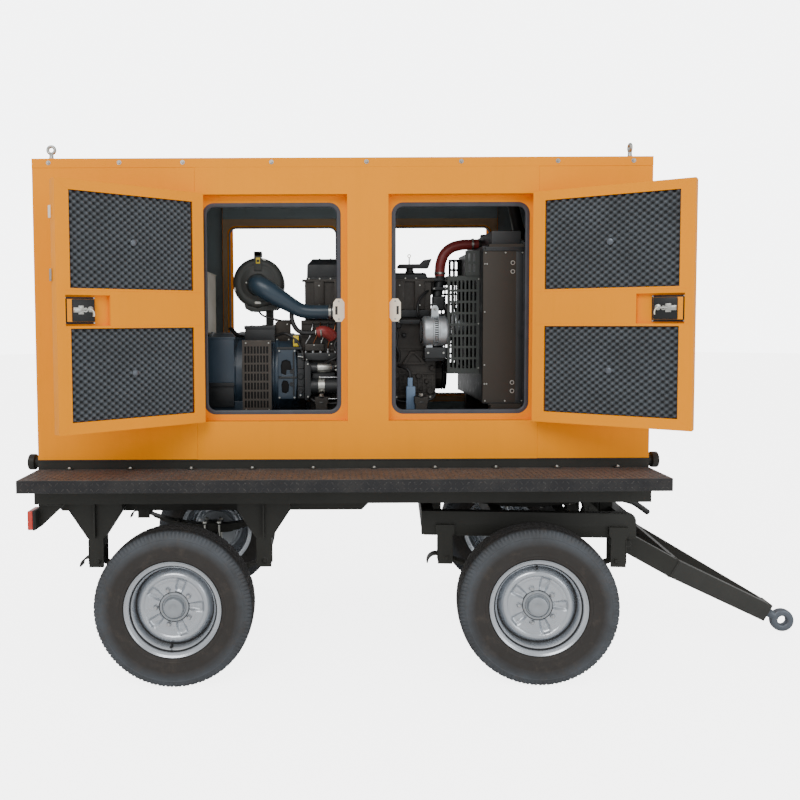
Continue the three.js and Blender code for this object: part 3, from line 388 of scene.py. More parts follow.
class Piece:
    """A mesh built from closed solids, in the millimetres of one matrix, that rides on one body."""

    def __init__(self, name, body, mat, matrix=TRAILER, slot=None, replaces=()):
        self.name, self.body, self.matrix = name, body, matrix
        self.mats = [mat]
        self.slot, self.replaces = slot, replaces
        self.bm = bmesh.new()
        self.m = 0

    def use(self, mat):
        """What is added next gets this finish."""
        if mat not in self.mats:
            self.mats.append(mat)
        self.m = self.mats.index(mat)
        return self

    def _take(self, other):
        for f in other.faces:
            f.material_index = self.m
        me = bpy.data.meshes.new("part")
        other.to_mesh(me)
        other.free()
        self.bm.from_mesh(me)
        bpy.data.meshes.remove(me)

    def solid(self, verts, faces, round_mm=0.0, segments=2, angle=40):
        bm = bmesh.new()
        made = [bm.verts.new(v) for v in verts]
        for f in faces:
            try:
                bm.faces.new([made[i] for i in f])
            except ValueError:
                pass
        bmesh.ops.recalc_face_normals(bm, faces=bm.faces)
        if round_mm:
            sharp = [e for e in bm.edges if len(e.link_faces) == 2
                     and e.calc_face_angle(0) > math.radians(angle)]
            bmesh.ops.bevel(bm, geom=sharp, offset=round_mm, segments=segments, profile=0.6, affect="EDGES",
                            clamp_overlap=True)
        self._take(bm)
        return self

    def box(self, lo, hi, round_mm=1.5, segments=2, turn=None, pivot=None):
        (x0, x1), (y0, y1), (z0, z1) = [sorted(pair) for pair in zip(lo, hi)]
        verts = [Vector((x, y, z)) for x in (x0, x1) for y in (y0, y1) for z in (z0, z1)]
        if turn is not None:
            c = Vector(pivot) if pivot else Vector(((x0 + x1) / 2, (y0 + y1) / 2, (z0 + z1) / 2))
            verts = [c + turn @ (v - c) for v in verts]
        faces = [(0, 1, 3, 2), (4, 6, 7, 5), (0, 4, 5, 1), (2, 3, 7, 6), (0, 2, 6, 4), (1, 5, 7, 3)]
        return self.solid(verts, faces, round_mm, segments)

    def lathe(self, profile, origin, axis, n=32, start=0.0):
        """profile: (radius, distance along the axis) pairs. Ends on the axis close the body."""
        axis, u, v = frame_for(axis)
        origin = Vector(origin)
        verts, rings = [], []
        for radius, t in profile:
            if radius < 1e-6:
                rings.append([len(verts)])
                verts.append(origin + axis * t)
                continue
            rings.append(list(range(len(verts), len(verts) + n)))
            for i in range(n):
                a = start + 2 * math.pi * i / n
                verts.append(origin + axis * t + u * (radius * math.cos(a)) + v * (radius * math.sin(a)))
        faces = []
        closed = len(rings[0]) > 1 and len(rings[-1]) > 1
        pairs = list(zip(rings, rings[1:])) + ([(rings[-1], rings[0])] if closed else [])
        for a, b in pairs:
            for i in range(n):
                j = (i + 1) % n
                quad = [a[i % len(a)], a[j % len(a)], b[j % len(b)], b[i % len(b)]]
                quad = [q for k, q in enumerate(quad) if q not in quad[:k]]
                if len(quad) > 2:
                    faces.append(quad)
        return self.solid(verts, faces)

    def turned(self, profile, origin, axis, n=32, start=0.0):
        """A lathed body whose ends are flat discs. The profile leaves out their centres."""
        return self.lathe([(0, profile[0][1])] + profile + [(0, profile[-1][1])], origin, axis, n, start)

    def rod(self, a, b, r, n=24, chamfer=None, r2=None):
        a, b = Vector(a), Vector(b)
        length = (b - a).length
        r2 = r if r2 is None else r2
        c = min(r, r2) * 0.12 if chamfer is None else chamfer
        c = min(c, length * 0.4)
        profile = [(0, 0), (r - c, 0), (r, c), (r2, length - c), (r2 - c, length), (0, length)]
        return self.lathe(profile, a, b - a, n)

    def ring(self, centre, axis, r_in, r_out, thick, n=40, round_mm=1.0):
        c, h = round_mm, thick / 2
        profile = [(r_in, -h + c), (r_in + c, -h), (r_out - c, -h), (r_out, -h + c),
                   (r_out, h - c), (r_out - c, h), (r_in + c, h), (r_in, h - c)]
        return self.lathe(profile, centre, axis, n)

    def torus(self, centre, axis, radius, wire, n=40, k=12):
        profile = [(radius + wire * math.cos(2 * math.pi * i / k), wire * math.sin(2 * math.pi * i / k))
                   for i in range(k)]
        return self.lathe(profile, centre, axis, n)

    def bolt(self, at, axis, flats, head, washer=False, stud=0.0, n=6):
        axis = Vector(axis).normalized()
        at = Vector(at)
        if washer:
            plate = [(0, 0), (flats * 0.86, 0), (flats * 0.9, 0.8), (flats * 0.86, 1.6), (0, 1.6)]
            self.lathe(plate, at, axis, 18)
            at = at + axis * 1.5
        r = flats / 2 / math.cos(math.pi / 6)
        self.turned([(r, 0), (r, head * 0.8), (r * 0.86, head)], at, axis, n)
        if stud:
            self.rod(at + axis * head * 0.9, at + axis * (head + stud), flats * 0.28, 12)
        return self

    def bolt_circle(self, centre, axis, radius, count, start, flats, head, washer=False):
        """Bolts round a main axis, the first of them at start degrees."""
        u, v = [Vector(unit) for unit, along in zip((AHEAD, TO_FAR, UP), axis) if not along]
        for i in range(count):
            a = math.radians(start + 360 * i / count)
            at = Vector(centre) + u * (radius * math.cos(a)) + v * (radius * math.sin(a))
            self.bolt(at, axis, flats, head, washer)
        return self

    def sweep(self, points, section, up=None, closed=False, scales=None):
        """A closed section of (u, v) pairs along points. u is across, v is along up."""
        points = [Vector(p) for p in points]
        count, k = len(points), len(section)
        verts, last = [], None
        for i, p in enumerate(points):
            a = points[(i - 1) % count] if closed or i else p
            b = points[(i + 1) % count] if closed or i < count - 1 else p
            tangent = (b - a).normalized()
            if up is not None:
                v = Vector(up)
                u = tangent.cross(v).normalized()
            else:
                if last is None:
                    _, last, _ = frame_for(tangent)
                u = (last - tangent * last.dot(tangent)).normalized()
                v = tangent.cross(u).normalized()
                last = u
            stretch = 1.0
            if closed or 0 < i < count - 1:
                d1, d2 = (p - a), (b - p)
                if d1.length > 1e-6 and d2.length > 1e-6:
                    stretch = 1 / max(0.5, math.cos(d1.angle(d2) / 2))
            s = scales[i] if scales else 1.0
            for su, sv in section:
                verts.append(p + u * (su * s * (stretch if up is not None else 1)) + v * (sv * s))
        return self.solid(verts, skin(count, k, closed))

    def tube(self, points, r, n=14, scales=None):
        return self.sweep(points, circle(0, 0, r, n), scales=scales)

    def hose(self, points, r, n, per=5):
        """A round line on a smooth route through the points."""
        return self.tube(smooth_path(points, per), r, n)

    def extrude(self, outline, plane, depth, holes=(), round_mm=0.0, segments=2):
        """A flat outline, with holes, pushed along the third axis. plane is xy, xz or yz."""
        place = PLANES[plane]
        loops = [list(outline)] + [list(h) for h in holes]
        flat = [p for loop in loops for p in loop]
        tris = geometry.tessellate_polygon([[Vector((a, b, 0)) for a, b in loop] for loop in loops])
        n = len(flat)
        verts = [Vector(place(a, b, c)) for c in depth for a, b in flat]
        faces = [tuple(t) for t in tris] + [tuple(i + n for i in reversed(t)) for t in tris]
        start = 0
        for loop in loops:
            for i in range(len(loop)):
                j = (i + 1) % len(loop)
                faces.append((start + i, start + j, start + j + n, start + i + n))
            start += len(loop)
        return self.solid(verts, faces, round_mm, segments)

    def slotted(self, us, vs, plane, depth):
        """A plate cut into cells by us and vs. Every second cell both ways is a slot."""
        place = PLANES[plane]
        index, verts, faces = {}, [], []

        def vert(i, j, k):
            key = (i, j, k)
            if key not in index:
                index[key] = len(verts)
                verts.append(Vector(place(us[i], vs[j], depth[k])))
            return index[key]

        nu, nv = len(us) - 1, len(vs) - 1
        full = [[not (i % 2 and j % 2) for j in range(nv)] for i in range(nu)]
        for i in range(nu):
            for j in range(nv):
                if not full[i][j]:
                    continue
                for k in (0, 1):
                    faces.append((vert(i, j, k), vert(i + 1, j, k), vert(i + 1, j + 1, k),
                                  vert(i, j + 1, k)))
                for di, dj, a, b in ((-1, 0, (i, j), (i, j + 1)), (1, 0, (i + 1, j), (i + 1, j + 1)),
                                     (0, -1, (i, j), (i + 1, j)), (0, 1, (i, j + 1), (i + 1, j + 1))):
                    ni, nj = i + di, j + dj
                    if not (0 <= ni < nu and 0 <= nj < nv and full[ni][nj]):
                        faces.append((vert(*a, 0), vert(*b, 0), vert(*b, 1), vert(*a, 1)))
        return self.solid(verts, faces)

    def done(self, smooth=38, attributes=None):
        self.bm.transform(self.matrix)
        bmesh.ops.recalc_face_normals(self.bm, faces=self.bm.faces)
        me = bpy.data.meshes.new(self.name)
        self.bm.to_mesh(me)
        if attributes:
            back = self.matrix.inverted()
            for key, rule in attributes.items():
                layer = me.attributes.new(key, "FLOAT", "POINT")
                layer.data.foreach_set("value", [rule(back @ v.co) for v in me.vertices])
        self.bm.free()
        for name in self.mats:
            me.materials.append(MATS[name])
        obj = bpy.data.objects.new(self.name, me)
        bpy.context.scene.collection.objects.link(obj)
        me.polygons.foreach_set("use_smooth", [True] * len(me.polygons))
        me.set_sharp_from_angle(angle=math.radians(smooth))
        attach(obj, self.body)
        if self.replaces:
            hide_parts(*self.replaces)
        return obj


def smooth_path(points, per=6):
    """A Catmull-Rom curve through the points, with per steps between two of them."""
    pts = [Vector(p) for p in points]
    pts = [pts[0] * 2 - pts[1]] + pts + [pts[-1] * 2 - pts[-2]]
    out = []
    for p0, p1, p2, p3 in zip(pts, pts[1:], pts[2:], pts[3:]):
        for k in range(per):
            t = k / per
            out.append(0.5 * ((2 * p1) + (p2 - p0) * t + (2 * p0 - 5 * p1 + 4 * p2 - p3) * t * t
                              + (3 * p1 - p0 - 3 * p2 + p3) * t ** 3))
    return out + [pts[-2]]


def round_rect(x0, x1, y0, y1, r, k=8):
    """Corner-rounded rectangle, anticlockwise."""
    out = []
    for cx, cy, start in ((x1 - r, y0 + r, -90), (x1 - r, y1 - r, 0), (x0 + r, y1 - r, 90),
                          (x0 + r, y0 + r, 180)):
        for i in range(k + 1):
            a = math.radians(start + 90 * i / k)
            out.append((cx + r * math.cos(a), cy + r * math.sin(a)))
    return out


def circle(cx, cy, r, n=24):
    return [(cx + r * math.cos(a), cy + r * math.sin(a)) for a in (2 * math.pi * i / n for i in range(n))]


def dress(node, mat, bevel_mm, segments=2):
    """A CAD node keeps its shape and gets a finish and small edge radii."""
    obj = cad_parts[node]
    obj.data.materials.clear()
    obj.data.materials.append(MATS[mat])
    weld = obj.modifiers.new("weld", "WELD")
    weld.merge_threshold = 0.00002
    flat = obj.modifiers.new("flat", "DECIMATE")
    flat.decimate_type, flat.angle_limit = "DISSOLVE", math.radians(0.6)
    edge = obj.modifiers.new("edge", "BEVEL")
    edge.width, edge.segments, edge.limit_method = bevel_mm / 1000, segments, "ANGLE"
    edge.angle_limit, edge.harden_normals = math.radians(38), False


# ------------------------------------------------------------------ camera, lights, floor
def build_camera():
    """Level with the canopy's side and square to it, shifted to the photo's framing."""
    pitch, roll = 0.0502, -0.0041
    forward = Vector((0, math.cos(pitch), -math.sin(pitch)))
    right = Vector(AHEAD)
    up = right.cross(forward)
    right, up = (right * math.cos(roll) + up * math.sin(roll), up * math.cos(roll) - right * math.sin(roll))
    data = bpy.data.cameras.new("camera")
    data.sensor_width, data.lens = 36.0, 36.099
    data.shift_x, data.shift_y = 0.085, -0.0487
    data.clip_start, data.clip_end = 0.05, 200
    camera = bpy.data.objects.new("camera", data)
    bpy.context.scene.collection.objects.link(camera)
    turn = Matrix((right, up, -forward)).transposed().to_4x4()
    camera.matrix_world = Matrix.Translation((MIDDLE_X - 0.055, -4.461, 1.718)) @ turn
    bpy.context.scene.camera = camera


def area_light(name, at, target, size, power, color):
    """A soft box at one place that faces another, in metres and watts."""
    data = bpy.data.lights.new(name, "AREA")
    data.shape, data.size, data.size_y = "RECTANGLE", size[0], size[1]
    data.energy, data.color = power, color
    light = bpy.data.objects.new(name, data)
    bpy.context.scene.collection.objects.link(light)
    light.location = at
    light.rotation_mode = "QUATERNION"
    light.rotation_quaternion = (Vector(target) - Vector(at)).to_track_quat("-Z", "Y")


def build_studio():
    world = bpy.data.worlds.new("studio")
    bpy.context.scene.world = world
    world.use_nodes = True
    tree = world.node_tree
    background = tree.nodes["Background"]
    background.inputs["Color"].default_value = (0.98, 0.99, 1.0, 1)
    # the backdrop is whiter to the eye than the light that it gives
    seen = tree.nodes.new("ShaderNodeLightPath").outputs["Is Camera Ray"]
    strength = tree.nodes.new("ShaderNodeMapRange")
    strength.inputs["To Min"].default_value, strength.inputs["To Max"].default_value = 0.84, 6.0
    tree.links.new(seen, strength.inputs["Value"])
    tree.links.new(strength.outputs[0], background.inputs["Strength"])
    area_light("key", (-2.5, -7.0, 6.5), (0.2, 0, 1.4), (5, 4), 350, (1.0, 0.985, 0.96))
    area_light("fill", (5.5, -6.0, 2.8), (0.6, 0, 1.2), (4, 3), 112, (0.95, 0.98, 1.0))
    s = Shader("pale_floor")
    grey = s.spread(s.noise(0.8, 4), 0.3, 0.7)
    s.finish(s.mix(grey, (0.90, 0.90, 0.89), (0.93, 0.93, 0.93)), 0.75, 0.0,
             s.bump(s.noise(40, 3), 0.05, 0.001))
    seen = s.node("ShaderNodeLightPath").outputs["Is Camera Ray"]
    s.links.new(s.spread(seen, 0, 1, 0.0, 4.5), s.bsdf.inputs["Emission Strength"])
    s.bsdf.inputs["Emission Color"].default_value = (1, 1, 1, 1)
    bm = bmesh.new()
    bmesh.ops.create_circle(bm, cap_ends=True, segments=96, radius=42)
    me = bpy.data.meshes.new("floor")
    bm.to_mesh(me)
    bm.free()
    me.materials.append(s.mat)
    floor = bpy.data.objects.new("floor", me)
    bpy.context.scene.collection.objects.link(floor)
    floor.location = (0, 0, -0.0005)


# ------------------------------------------------------------------ canopy
SKIN = 528.4          # |y| of the canopy's side skins
RECESS_Y = 468.4      # |y| of the recess face behind the doors
JAMBS = ((-680, -22), (255, 912))
JAMB_Z = (1265, 2287)


def build_canopy():
    for node in ("rear_wall", "front_wall", "near_rear_panel", "near_front_panel", "far_rear_panel",
                 "far_front_panel"):
        dress(node, "amber", 2.2)
    dress("near_door_frame", "amber", 1.6)
    dress("far_door_frame", "amber", 1.6)
    dress("roof_panel", "amber", 3.0, segments=3)
    dress("skid_base", "black", 2.0)
    roof_fittings()
    for side, label in SIDES:
        gaskets(side, label)
        strike_plates(side, label)
        hinge_covers(side, label)
    linings()
    skid_details()


def roof_fittings():
    """Bolts along the roof's edge and four lifting eyes."""
    bolts = Piece("roof_bolts", "chassis", "zinc", slot="amber_paint")
    for side in BOTH:
        for x in (-1426, -1083, -776, -345, 116, 576, 1045, 1412):
            bolts.bolt((x, side * (SKIN + 0.2), 2488), (0, side, 0), 13, 5.5, washer=True)
            bolts.rod((x, side * (SKIN + 6), 2488), (x, side * (SKIN + 9.5), 2488), 3.6, 14)
    for x_end in (-1, 1):
        for y in (-380, -130, 130, 380):
            bolts.bolt((x_end * 1508.7, y, 2488), (x_end, 0, 0), 13, 5.5, washer=True)
    bolts.done(30)
    eyes = Piece("lifting_eyes", "chassis", "zinc", slot="amber_paint")
    for x, axis in ((-1431, TO_FAR), (1414.5, AHEAD)):
        for side in BOTH:
            y = side * 468.4
            eyes.torus((x, y, 2561), axis, 17.5, 7.3, 44, 14)
            eyes.lathe([(0, 0), (18.5, 0), (19.5, 1.5), (19.5, 7), (17, 9.5), (12, 10.5), (10.4, 16),
                        (9.8, 30), (11.5, 37), (0, 40)], (x, y, 2509.1), UP, 28)
    eyes.done(45)


def gaskets(side, label):
    """Rubber trim that grips each opening's edge, and the seal on the recess face."""
    for (x0, x1), end in zip(JAMBS, ("rear", "front")):
        path = round_rect(x0, x1, *JAMB_Z, 45, 10)
        points = [(x, side * RECESS_Y, z) for x, z in path]
        trim = Piece(f"{label}_{end}_gasket", "chassis", "gasket", slot="black_paint")
        # u points inwards across the opening or outwards by side, v points out of the canopy
        sign = 1 if side == NEAR else -1
        section = [(-0.4, 0.4), (-12, 0.4), (-13, 0.7), (-11, 0.95), (0, 0.95), (4, 0.6), (7.5, -1.5),
                   (9, -5.5), (7.6, -9.5), (4.4, -12), (4.4, -20), (3.6, -23), (0.6, -23), (0.5, -0.2)]
        trim.sweep(points, [(sign * -u, v) for u, v in section], up=(0, side, 0), closed=True)
        trim.done(40)


def strike_plates(side, label):
    """Pale strike plates on both jambs of the middle post, each with a slot drawn as a dark strip of
    painted shade.
    """
    plates = Piece(f"{label}_strike_plates", "chassis", "cream", slot="cabinet_cream")
    # over the opening the plate lies lower, clear of the closed door's latch box
    for x, inward, step in ((-20, -1, 12), (260, 1, 8.5)):
        on_face = [(-28, 1732), (-14, 1713), (step, 1713), (step, 1827), (-14, 1827), (-28, 1808)]
        over_gap = [(step, 1713), (14, 1713), (28, 1732), (28, 1808), (14, 1827), (step, 1827)]
        parts = ((on_face, 0.3, 1.5, (6, step)), (over_gap, -8, 0.3, (step, 18)))
        for outline, low, high, (s0, s1) in parts:
            y0, y1 = side * (RECESS_Y + low), side * (RECESS_Y + high)
            points = [(x + inward * t, z) for t, z in outline]
            plates.use("cream").extrude(points, "xz", sorted((y0, y1)))
            # painted shade: the slot is a flat dark strip on the plate
            plates.use("rubber").box((x + inward * s0, y1 - side * 0.1, 1748),
                                     (x + inward * s1, y1 + side * 0.12, 1790), 0)
        for z in (1726, 1814):
            plates.use("zinc").bolt((x, side * (RECESS_Y + 1.4), z), (0, side, 0), 8, 0.4, n=16)
    plates.done(35)


def hinge_covers(side, label):
    """Smooth knuckles, straps and screws over the three hinges of each door post."""
    y = side * PIN_Y
    fixed = Piece(f"{label}_hinge_halves", "chassis", "black", slot="black_paint")
    for pin_x, away in ((REAR_PIN_X, -1), (FRONT_PIN_X, 1)):
        for z in HINGES_Z:
            fixed.use("black").lathe([(0, 0.4), (6.6, 0.4), (7.3, 1.2), (7.3, 43), (6.3, 45), (0, 45.6)],
                                     (pin_x, y, z), UP, 22)
            fixed.box((pin_x + away * 6, y - side * 7.4, z + 0.6),
                      (pin_x + away * 42.6, y - side * 3.4, z + 45), 1.2)
            for dz in (12, 34):
                fixed.use("zinc").bolt((pin_x + away * 28, y - side * 3.4, z + dz), (0, side, 0), 8, 2.6,
                                       n=14)
    fixed.done(35)


def egg_crate(piece, s_range, z_range, back, low, high):
    """A convoluted foam sheet: staggered crests between low and high, on a flat back."""
    pitch_s, pitch_z, step = 36, 30, 5.2
    ns = round((s_range[1] - s_range[0]) / step)
    nz = round((z_range[1] - z_range[0]) / step)
    verts, faces = [], []
    for j in range(nz + 1):
        for i in range(ns + 1):
            s = s_range[0] + (s_range[1] - s_range[0]) * i / ns
            z = z_range[0] + (z_range[1] - z_range[0]) * j / nz
            wave = math.cos(math.pi * 2 * s / pitch_s) * math.cos(math.pi * 2 * z / pitch_z)
            crest = (0.5 + 0.5 * wave) ** 0.85
            wobble = 0.06 * noise.noise(Vector((s * 0.013, z * 0.013, s_range[0])))
            verts.append((s, low + (high - low) * share(crest + wobble), z))
    top = len(verts)
    verts += [(v[0], back, v[2]) for v in verts]
    row = ns + 1
    for j in range(nz):
        for i in range(ns):
            a = j * row + i
            faces.append((a, a + 1, a + row + 1, a + row))
    edge = (list(range(ns)) + [ns + j * row for j in range(nz)]
            + [nz * row + ns - i for i in range(ns)] + [(nz - j) * row for j in range(nz)])
    for k, a in enumerate(edge):
        b = edge[(k + 1) % len(edge)]
        faces.append((a, b, b + top, a + top))
    faces.append(tuple(a + top for a in edge))
    # the back is one face, so only its edge points are kept
    keep = sorted(set(range(top)) | {a + top for a in edge})
    place = {index: i for i, index in enumerate(keep)}
    piece.solid([verts[i] for i in keep], [tuple(place[i] for i in f) for f in faces])


def linings():
    """Foam that lines the canopy's roof, walls and the posts between the doors, lightened as painted light,
    and brown sheets of painted shade round the openings.
    """
    lining = Piece("canopy_lining", "chassis", "lining", slot="acoustic_foam")

    def pad(lo, hi):
        lining.box(lo, hi, 3)

    pad((-1470, -490, 2467), (1470, 490, 2498))
    for side in BOTH:
        y0, y1 = side * 447.6, side * 436
        pad((-716, y0, 2336), (952, y1, 2456))
        pad((30, y0, 1060), (216, y1, 2334))
        pad((-716, y0, 1050), (952, y1, 1222))
        for x0, x1 in ((-1474, -722), (958, 1474)):
            pad((x0, side * 497.6, 1050), (x1, side * 480, 2456))
    for x in (-1477, 1477):
        pad((x, -470, 2072), (x - math.copysign(16, x), 470, 2456))
    lining.done(40)
    # painted shade: brown sheets over the amber inner faces of the door frames round the openings
    trim = Piece("inner_shade_sheets", "chassis", "shade_brown", slot="amber_paint")
    for side in BOTH:
        holes = [round_rect(x0 - 8, x1 + 8, JAMB_Z[0] - 8, JAMB_Z[1] + 8, 50, 8) for x0, x1 in JAMBS]
        trim.extrude([(-716, 1224), (952, 1224), (952, 2338), (-716, 2338)], "xz",
                     sorted((side * 447.9, side * 446.4)), holes)
    trim.done(30)


def skid_details():
    """Round tie-down posts at the skid's ends and clamp bolts along its foot."""
    posts = Piece("tie_down_posts", "chassis", "black", slot="black_paint")
    for end in (-1, 1):
        for side in BOTH:
            bollard = [(30, 0), (30, 3), (24, 6), (23.2, 10), (23.2, 24), (26, 26), (38.4, 26.6),
                       (39.4, 28.5), (39.4, 54.5), (37.5, 57), (14, 57.4), (10, 55)]
            posts.turned(bollard, (end * 1508.8, side * 480, 1020), (end, 0, 0), 36)
    posts.done(35)
    clamps = Piece("skid_clamps", "chassis", "black", slot="black_paint")
    for side in BOTH:
        for i in range(10):
            x = -1350 + i * 300
            clamps.use("black").box((x - 16, side * 529, 990.3), (x + 16, side * 556, 996), 1.2)
            clamps.use("zinc").bolt((x, side * 544, 996), UP, 11, 6, washer=True)
        clamps.use("black").box((-1505, side * 528.8, 1028.5), (1505, side * 531.2, 1034.6), 0.8)
    clamps.done(35)


# ------------------------------------------------------------------ doors
def build_doors():
    for side, label in SIDES:
        for end in ("rear", "front"):
            name = f"{label}_{end}_door"
            m = door_matrix(side, end)
            dress(name, "amber", 1.6)
            foam = Piece(f"{name}_foam_sheet", name, "foam", m, "acoustic_foam", (f"{name}_foam",))
            for z_range in ((1280, 1687.5), (1864.5, 2283.5)):
                egg_crate(foam, (62.5, 657.5), z_range, 12, 41, 59.5)
            # the crest attribute carries the foam's painted shade and painted highlight
            foam.done(60, attributes={"crest": lambda p: (p.y - 41) / 18.5})
            door_inside(name, m)
            door_edge(name, m, side, end)
            paddle(name, m)


def door_inside(name, m):
    """The latch box in its pocket, foam buttons and folded seams on the inner face."""
    fit = Piece(f"{name}_latch_box", name, "plastic", m, "latch_black")
    floor = 39.8
    fit.use("plastic").box((541, floor, 1708), (680, floor + 2.6, 1826), 1.0)
    fit.box((549.5, floor + 2, 1715.5), (677.5, 66.2, 1818.5), 3)
    fit.box((549.5, floor + 2, 1715.5), (657, 68, 1818.5), 7, 3)
    fit.box((555, 67.5, 1722), (651.5, 70.5, 1812), 2)
    for s in (545.5, 675.5):
        for z in (1712, 1822):
            fit.use("zinc").bolt((s, floor + 2.6, z), TO_FAR, 6.5, 2.6, n=14)
    fit.use("zinc").box((622, 70, 1758), (650, 77, 1780), 1.2)
    fit.box((604, 70, 1750), (628, 75, 1788), 1.5)
    fit.box((612, 74, 1760), (646, 80, 1776), 1.5)
    fit.ring((596, 73, 1769), TO_FAR, 4.5, 10.5, 6, 26, 1.0)
    fit.lathe([(0, 0), (13, 0), (14, 2), (13, 6), (7, 9), (0, 9.5)], (573, 69.5, 1772), TO_FAR, 26)
    arm = smooth_path([(573, 75, 1772), (564, 76, 1764), (560, 76, 1752), (561, 76, 1740)], 5)
    fit.use("cream").sweep(arm, [(-2, -7), (2, -7), (2, 7), (-2, 7)], up=TO_FAR)
    fit.use("zinc").rod((580, 74, 1770), (626, 74, 1770), 4.2, 14)
    fit.done(35)
    pins = Piece(f"{name}_foam_buttons", name, "eye", m, "acoustic_foam")
    for z in (1484, 2074):
        pins.lathe([(0, 42), (4, 42), (4, 57.5), (13, 58.5), (15, 60.4), (13, 62), (6, 62.8), (0, 63)],
                   (360, 0, z), TO_FAR, 24)
    pins.done(40)
    folds = Piece(f"{name}_mitre_seams", name, "amber", m, "amber_paint")
    inner = 65.6
    for s0, s1 in ((4, 61), (718, 659)):
        for z0, z1 in ((1229, 1279), (2328, 2284)):
            run = [(s0, inner - 0.5, z0), (s1, inner - 0.5, z1)]
            folds.sweep(run, [(-1.2, 0), (-0.5, 0.9), (0.5, 0.9), (1.2, 0), (0, -0.5)], up=TO_FAR)
    for z in (1698.5, 1854.5):
        folds.box((12, inner - 1, z - 0.7), (707, inner + 0.7, z + 0.7), 0.4)
    folds.done(35)


def door_edge(name, m, side, end):
    """The moving hinge halves and the keeper clips on the free edge."""
    moving = Piece(f"{name}_hinge_halves", name, "black", m, "black_paint")
    for z in HINGES_Z:
        moving.use("black").lathe([(0, -45.6), (6.3, -45), (7.3, -43), (7.3, -1.2), (6.6, -0.4), (0, -0.4)],
                                  (0, 0, z), UP, 22)
        moving.box((5.8, 3.6, z - 45), (42.6, 7.5, z - 0.6), 1.2)
        for dz in (12, 34):
            moving.use("zinc").bolt((29, 3.7, z - dz), TO_NEAR, 8, 2.2, n=14)
    moving.done(35)
    if side == NEAR and end == "rear":
        clips = Piece(f"{name}_edge_clips", name, "cream", m, "cabinet_cream")
        for z, mat in ((2190, "cream"), (1920, "zinc")):
            clips.use(mat).box((700, 1.5, z - 27), (726, 7.4, z + 27), 1.8)
            clips.box((719.4, 1.5, z - 27), (726, 22, z + 27), 1.8)
        clips.done(35)


def paddle(name, m):
    """The outside paddle handle in its tray: tray on the door, paddle on its own pin."""
    tray = Piece(f"{name}_paddle_tray", name, "plastic", m, "latch_black")
    outline = round_rect(546, 684, 1708, 1826, 10, 5)
    inner = round_rect(561, 669, 1723, 1811, 6, 4)
    tray.use("plastic").extrude(outline, "xz", (4.4, 8.4), [inner], 1.0)
    for s in (553, 677):
        for z in (1715, 1819):
            tray.use("zinc").bolt((s, 4.5, z), TO_NEAR, 6, 2, n=14)
    tray.done(35)
    body = f"{name}_latch"
    lever = Piece(f"{name}_paddle", body, "plastic", m, "latch_black", (f"{name}_latch",))
    at = 11.6
    plate = [(567, 1726), (663, 1726), (667, 1731), (667, 1803), (663, 1807), (567, 1807), (563, 1803),
             (563, 1731)]
    lever.use("plastic").extrude(plate, "xz", (at + 0.2, at + 4.8), round_mm=1.4)
    for i in range(4):
        z = 1730 + i * 6
        lever.box((576, at - 3.6 + i * 0.6, z), (654, at + 1, z + 3.6), 1.2)
    lever.turned([(9, 0), (10, 1), (10, 3.4), (8, 4)], (648, at + 0.6, 1786), TO_NEAR, 24)
    lever.use("zinc").lathe([(0, 0), (6.6, 0), (6.6, 1.2), (0, 1.6)], (648, at - 3.2, 1786), TO_NEAR, 20)
    lever.rod((562.5, at + 2.5, 1804), (667.5, at + 2.5, 1804), 3.6, 18)
    lever.done(35)


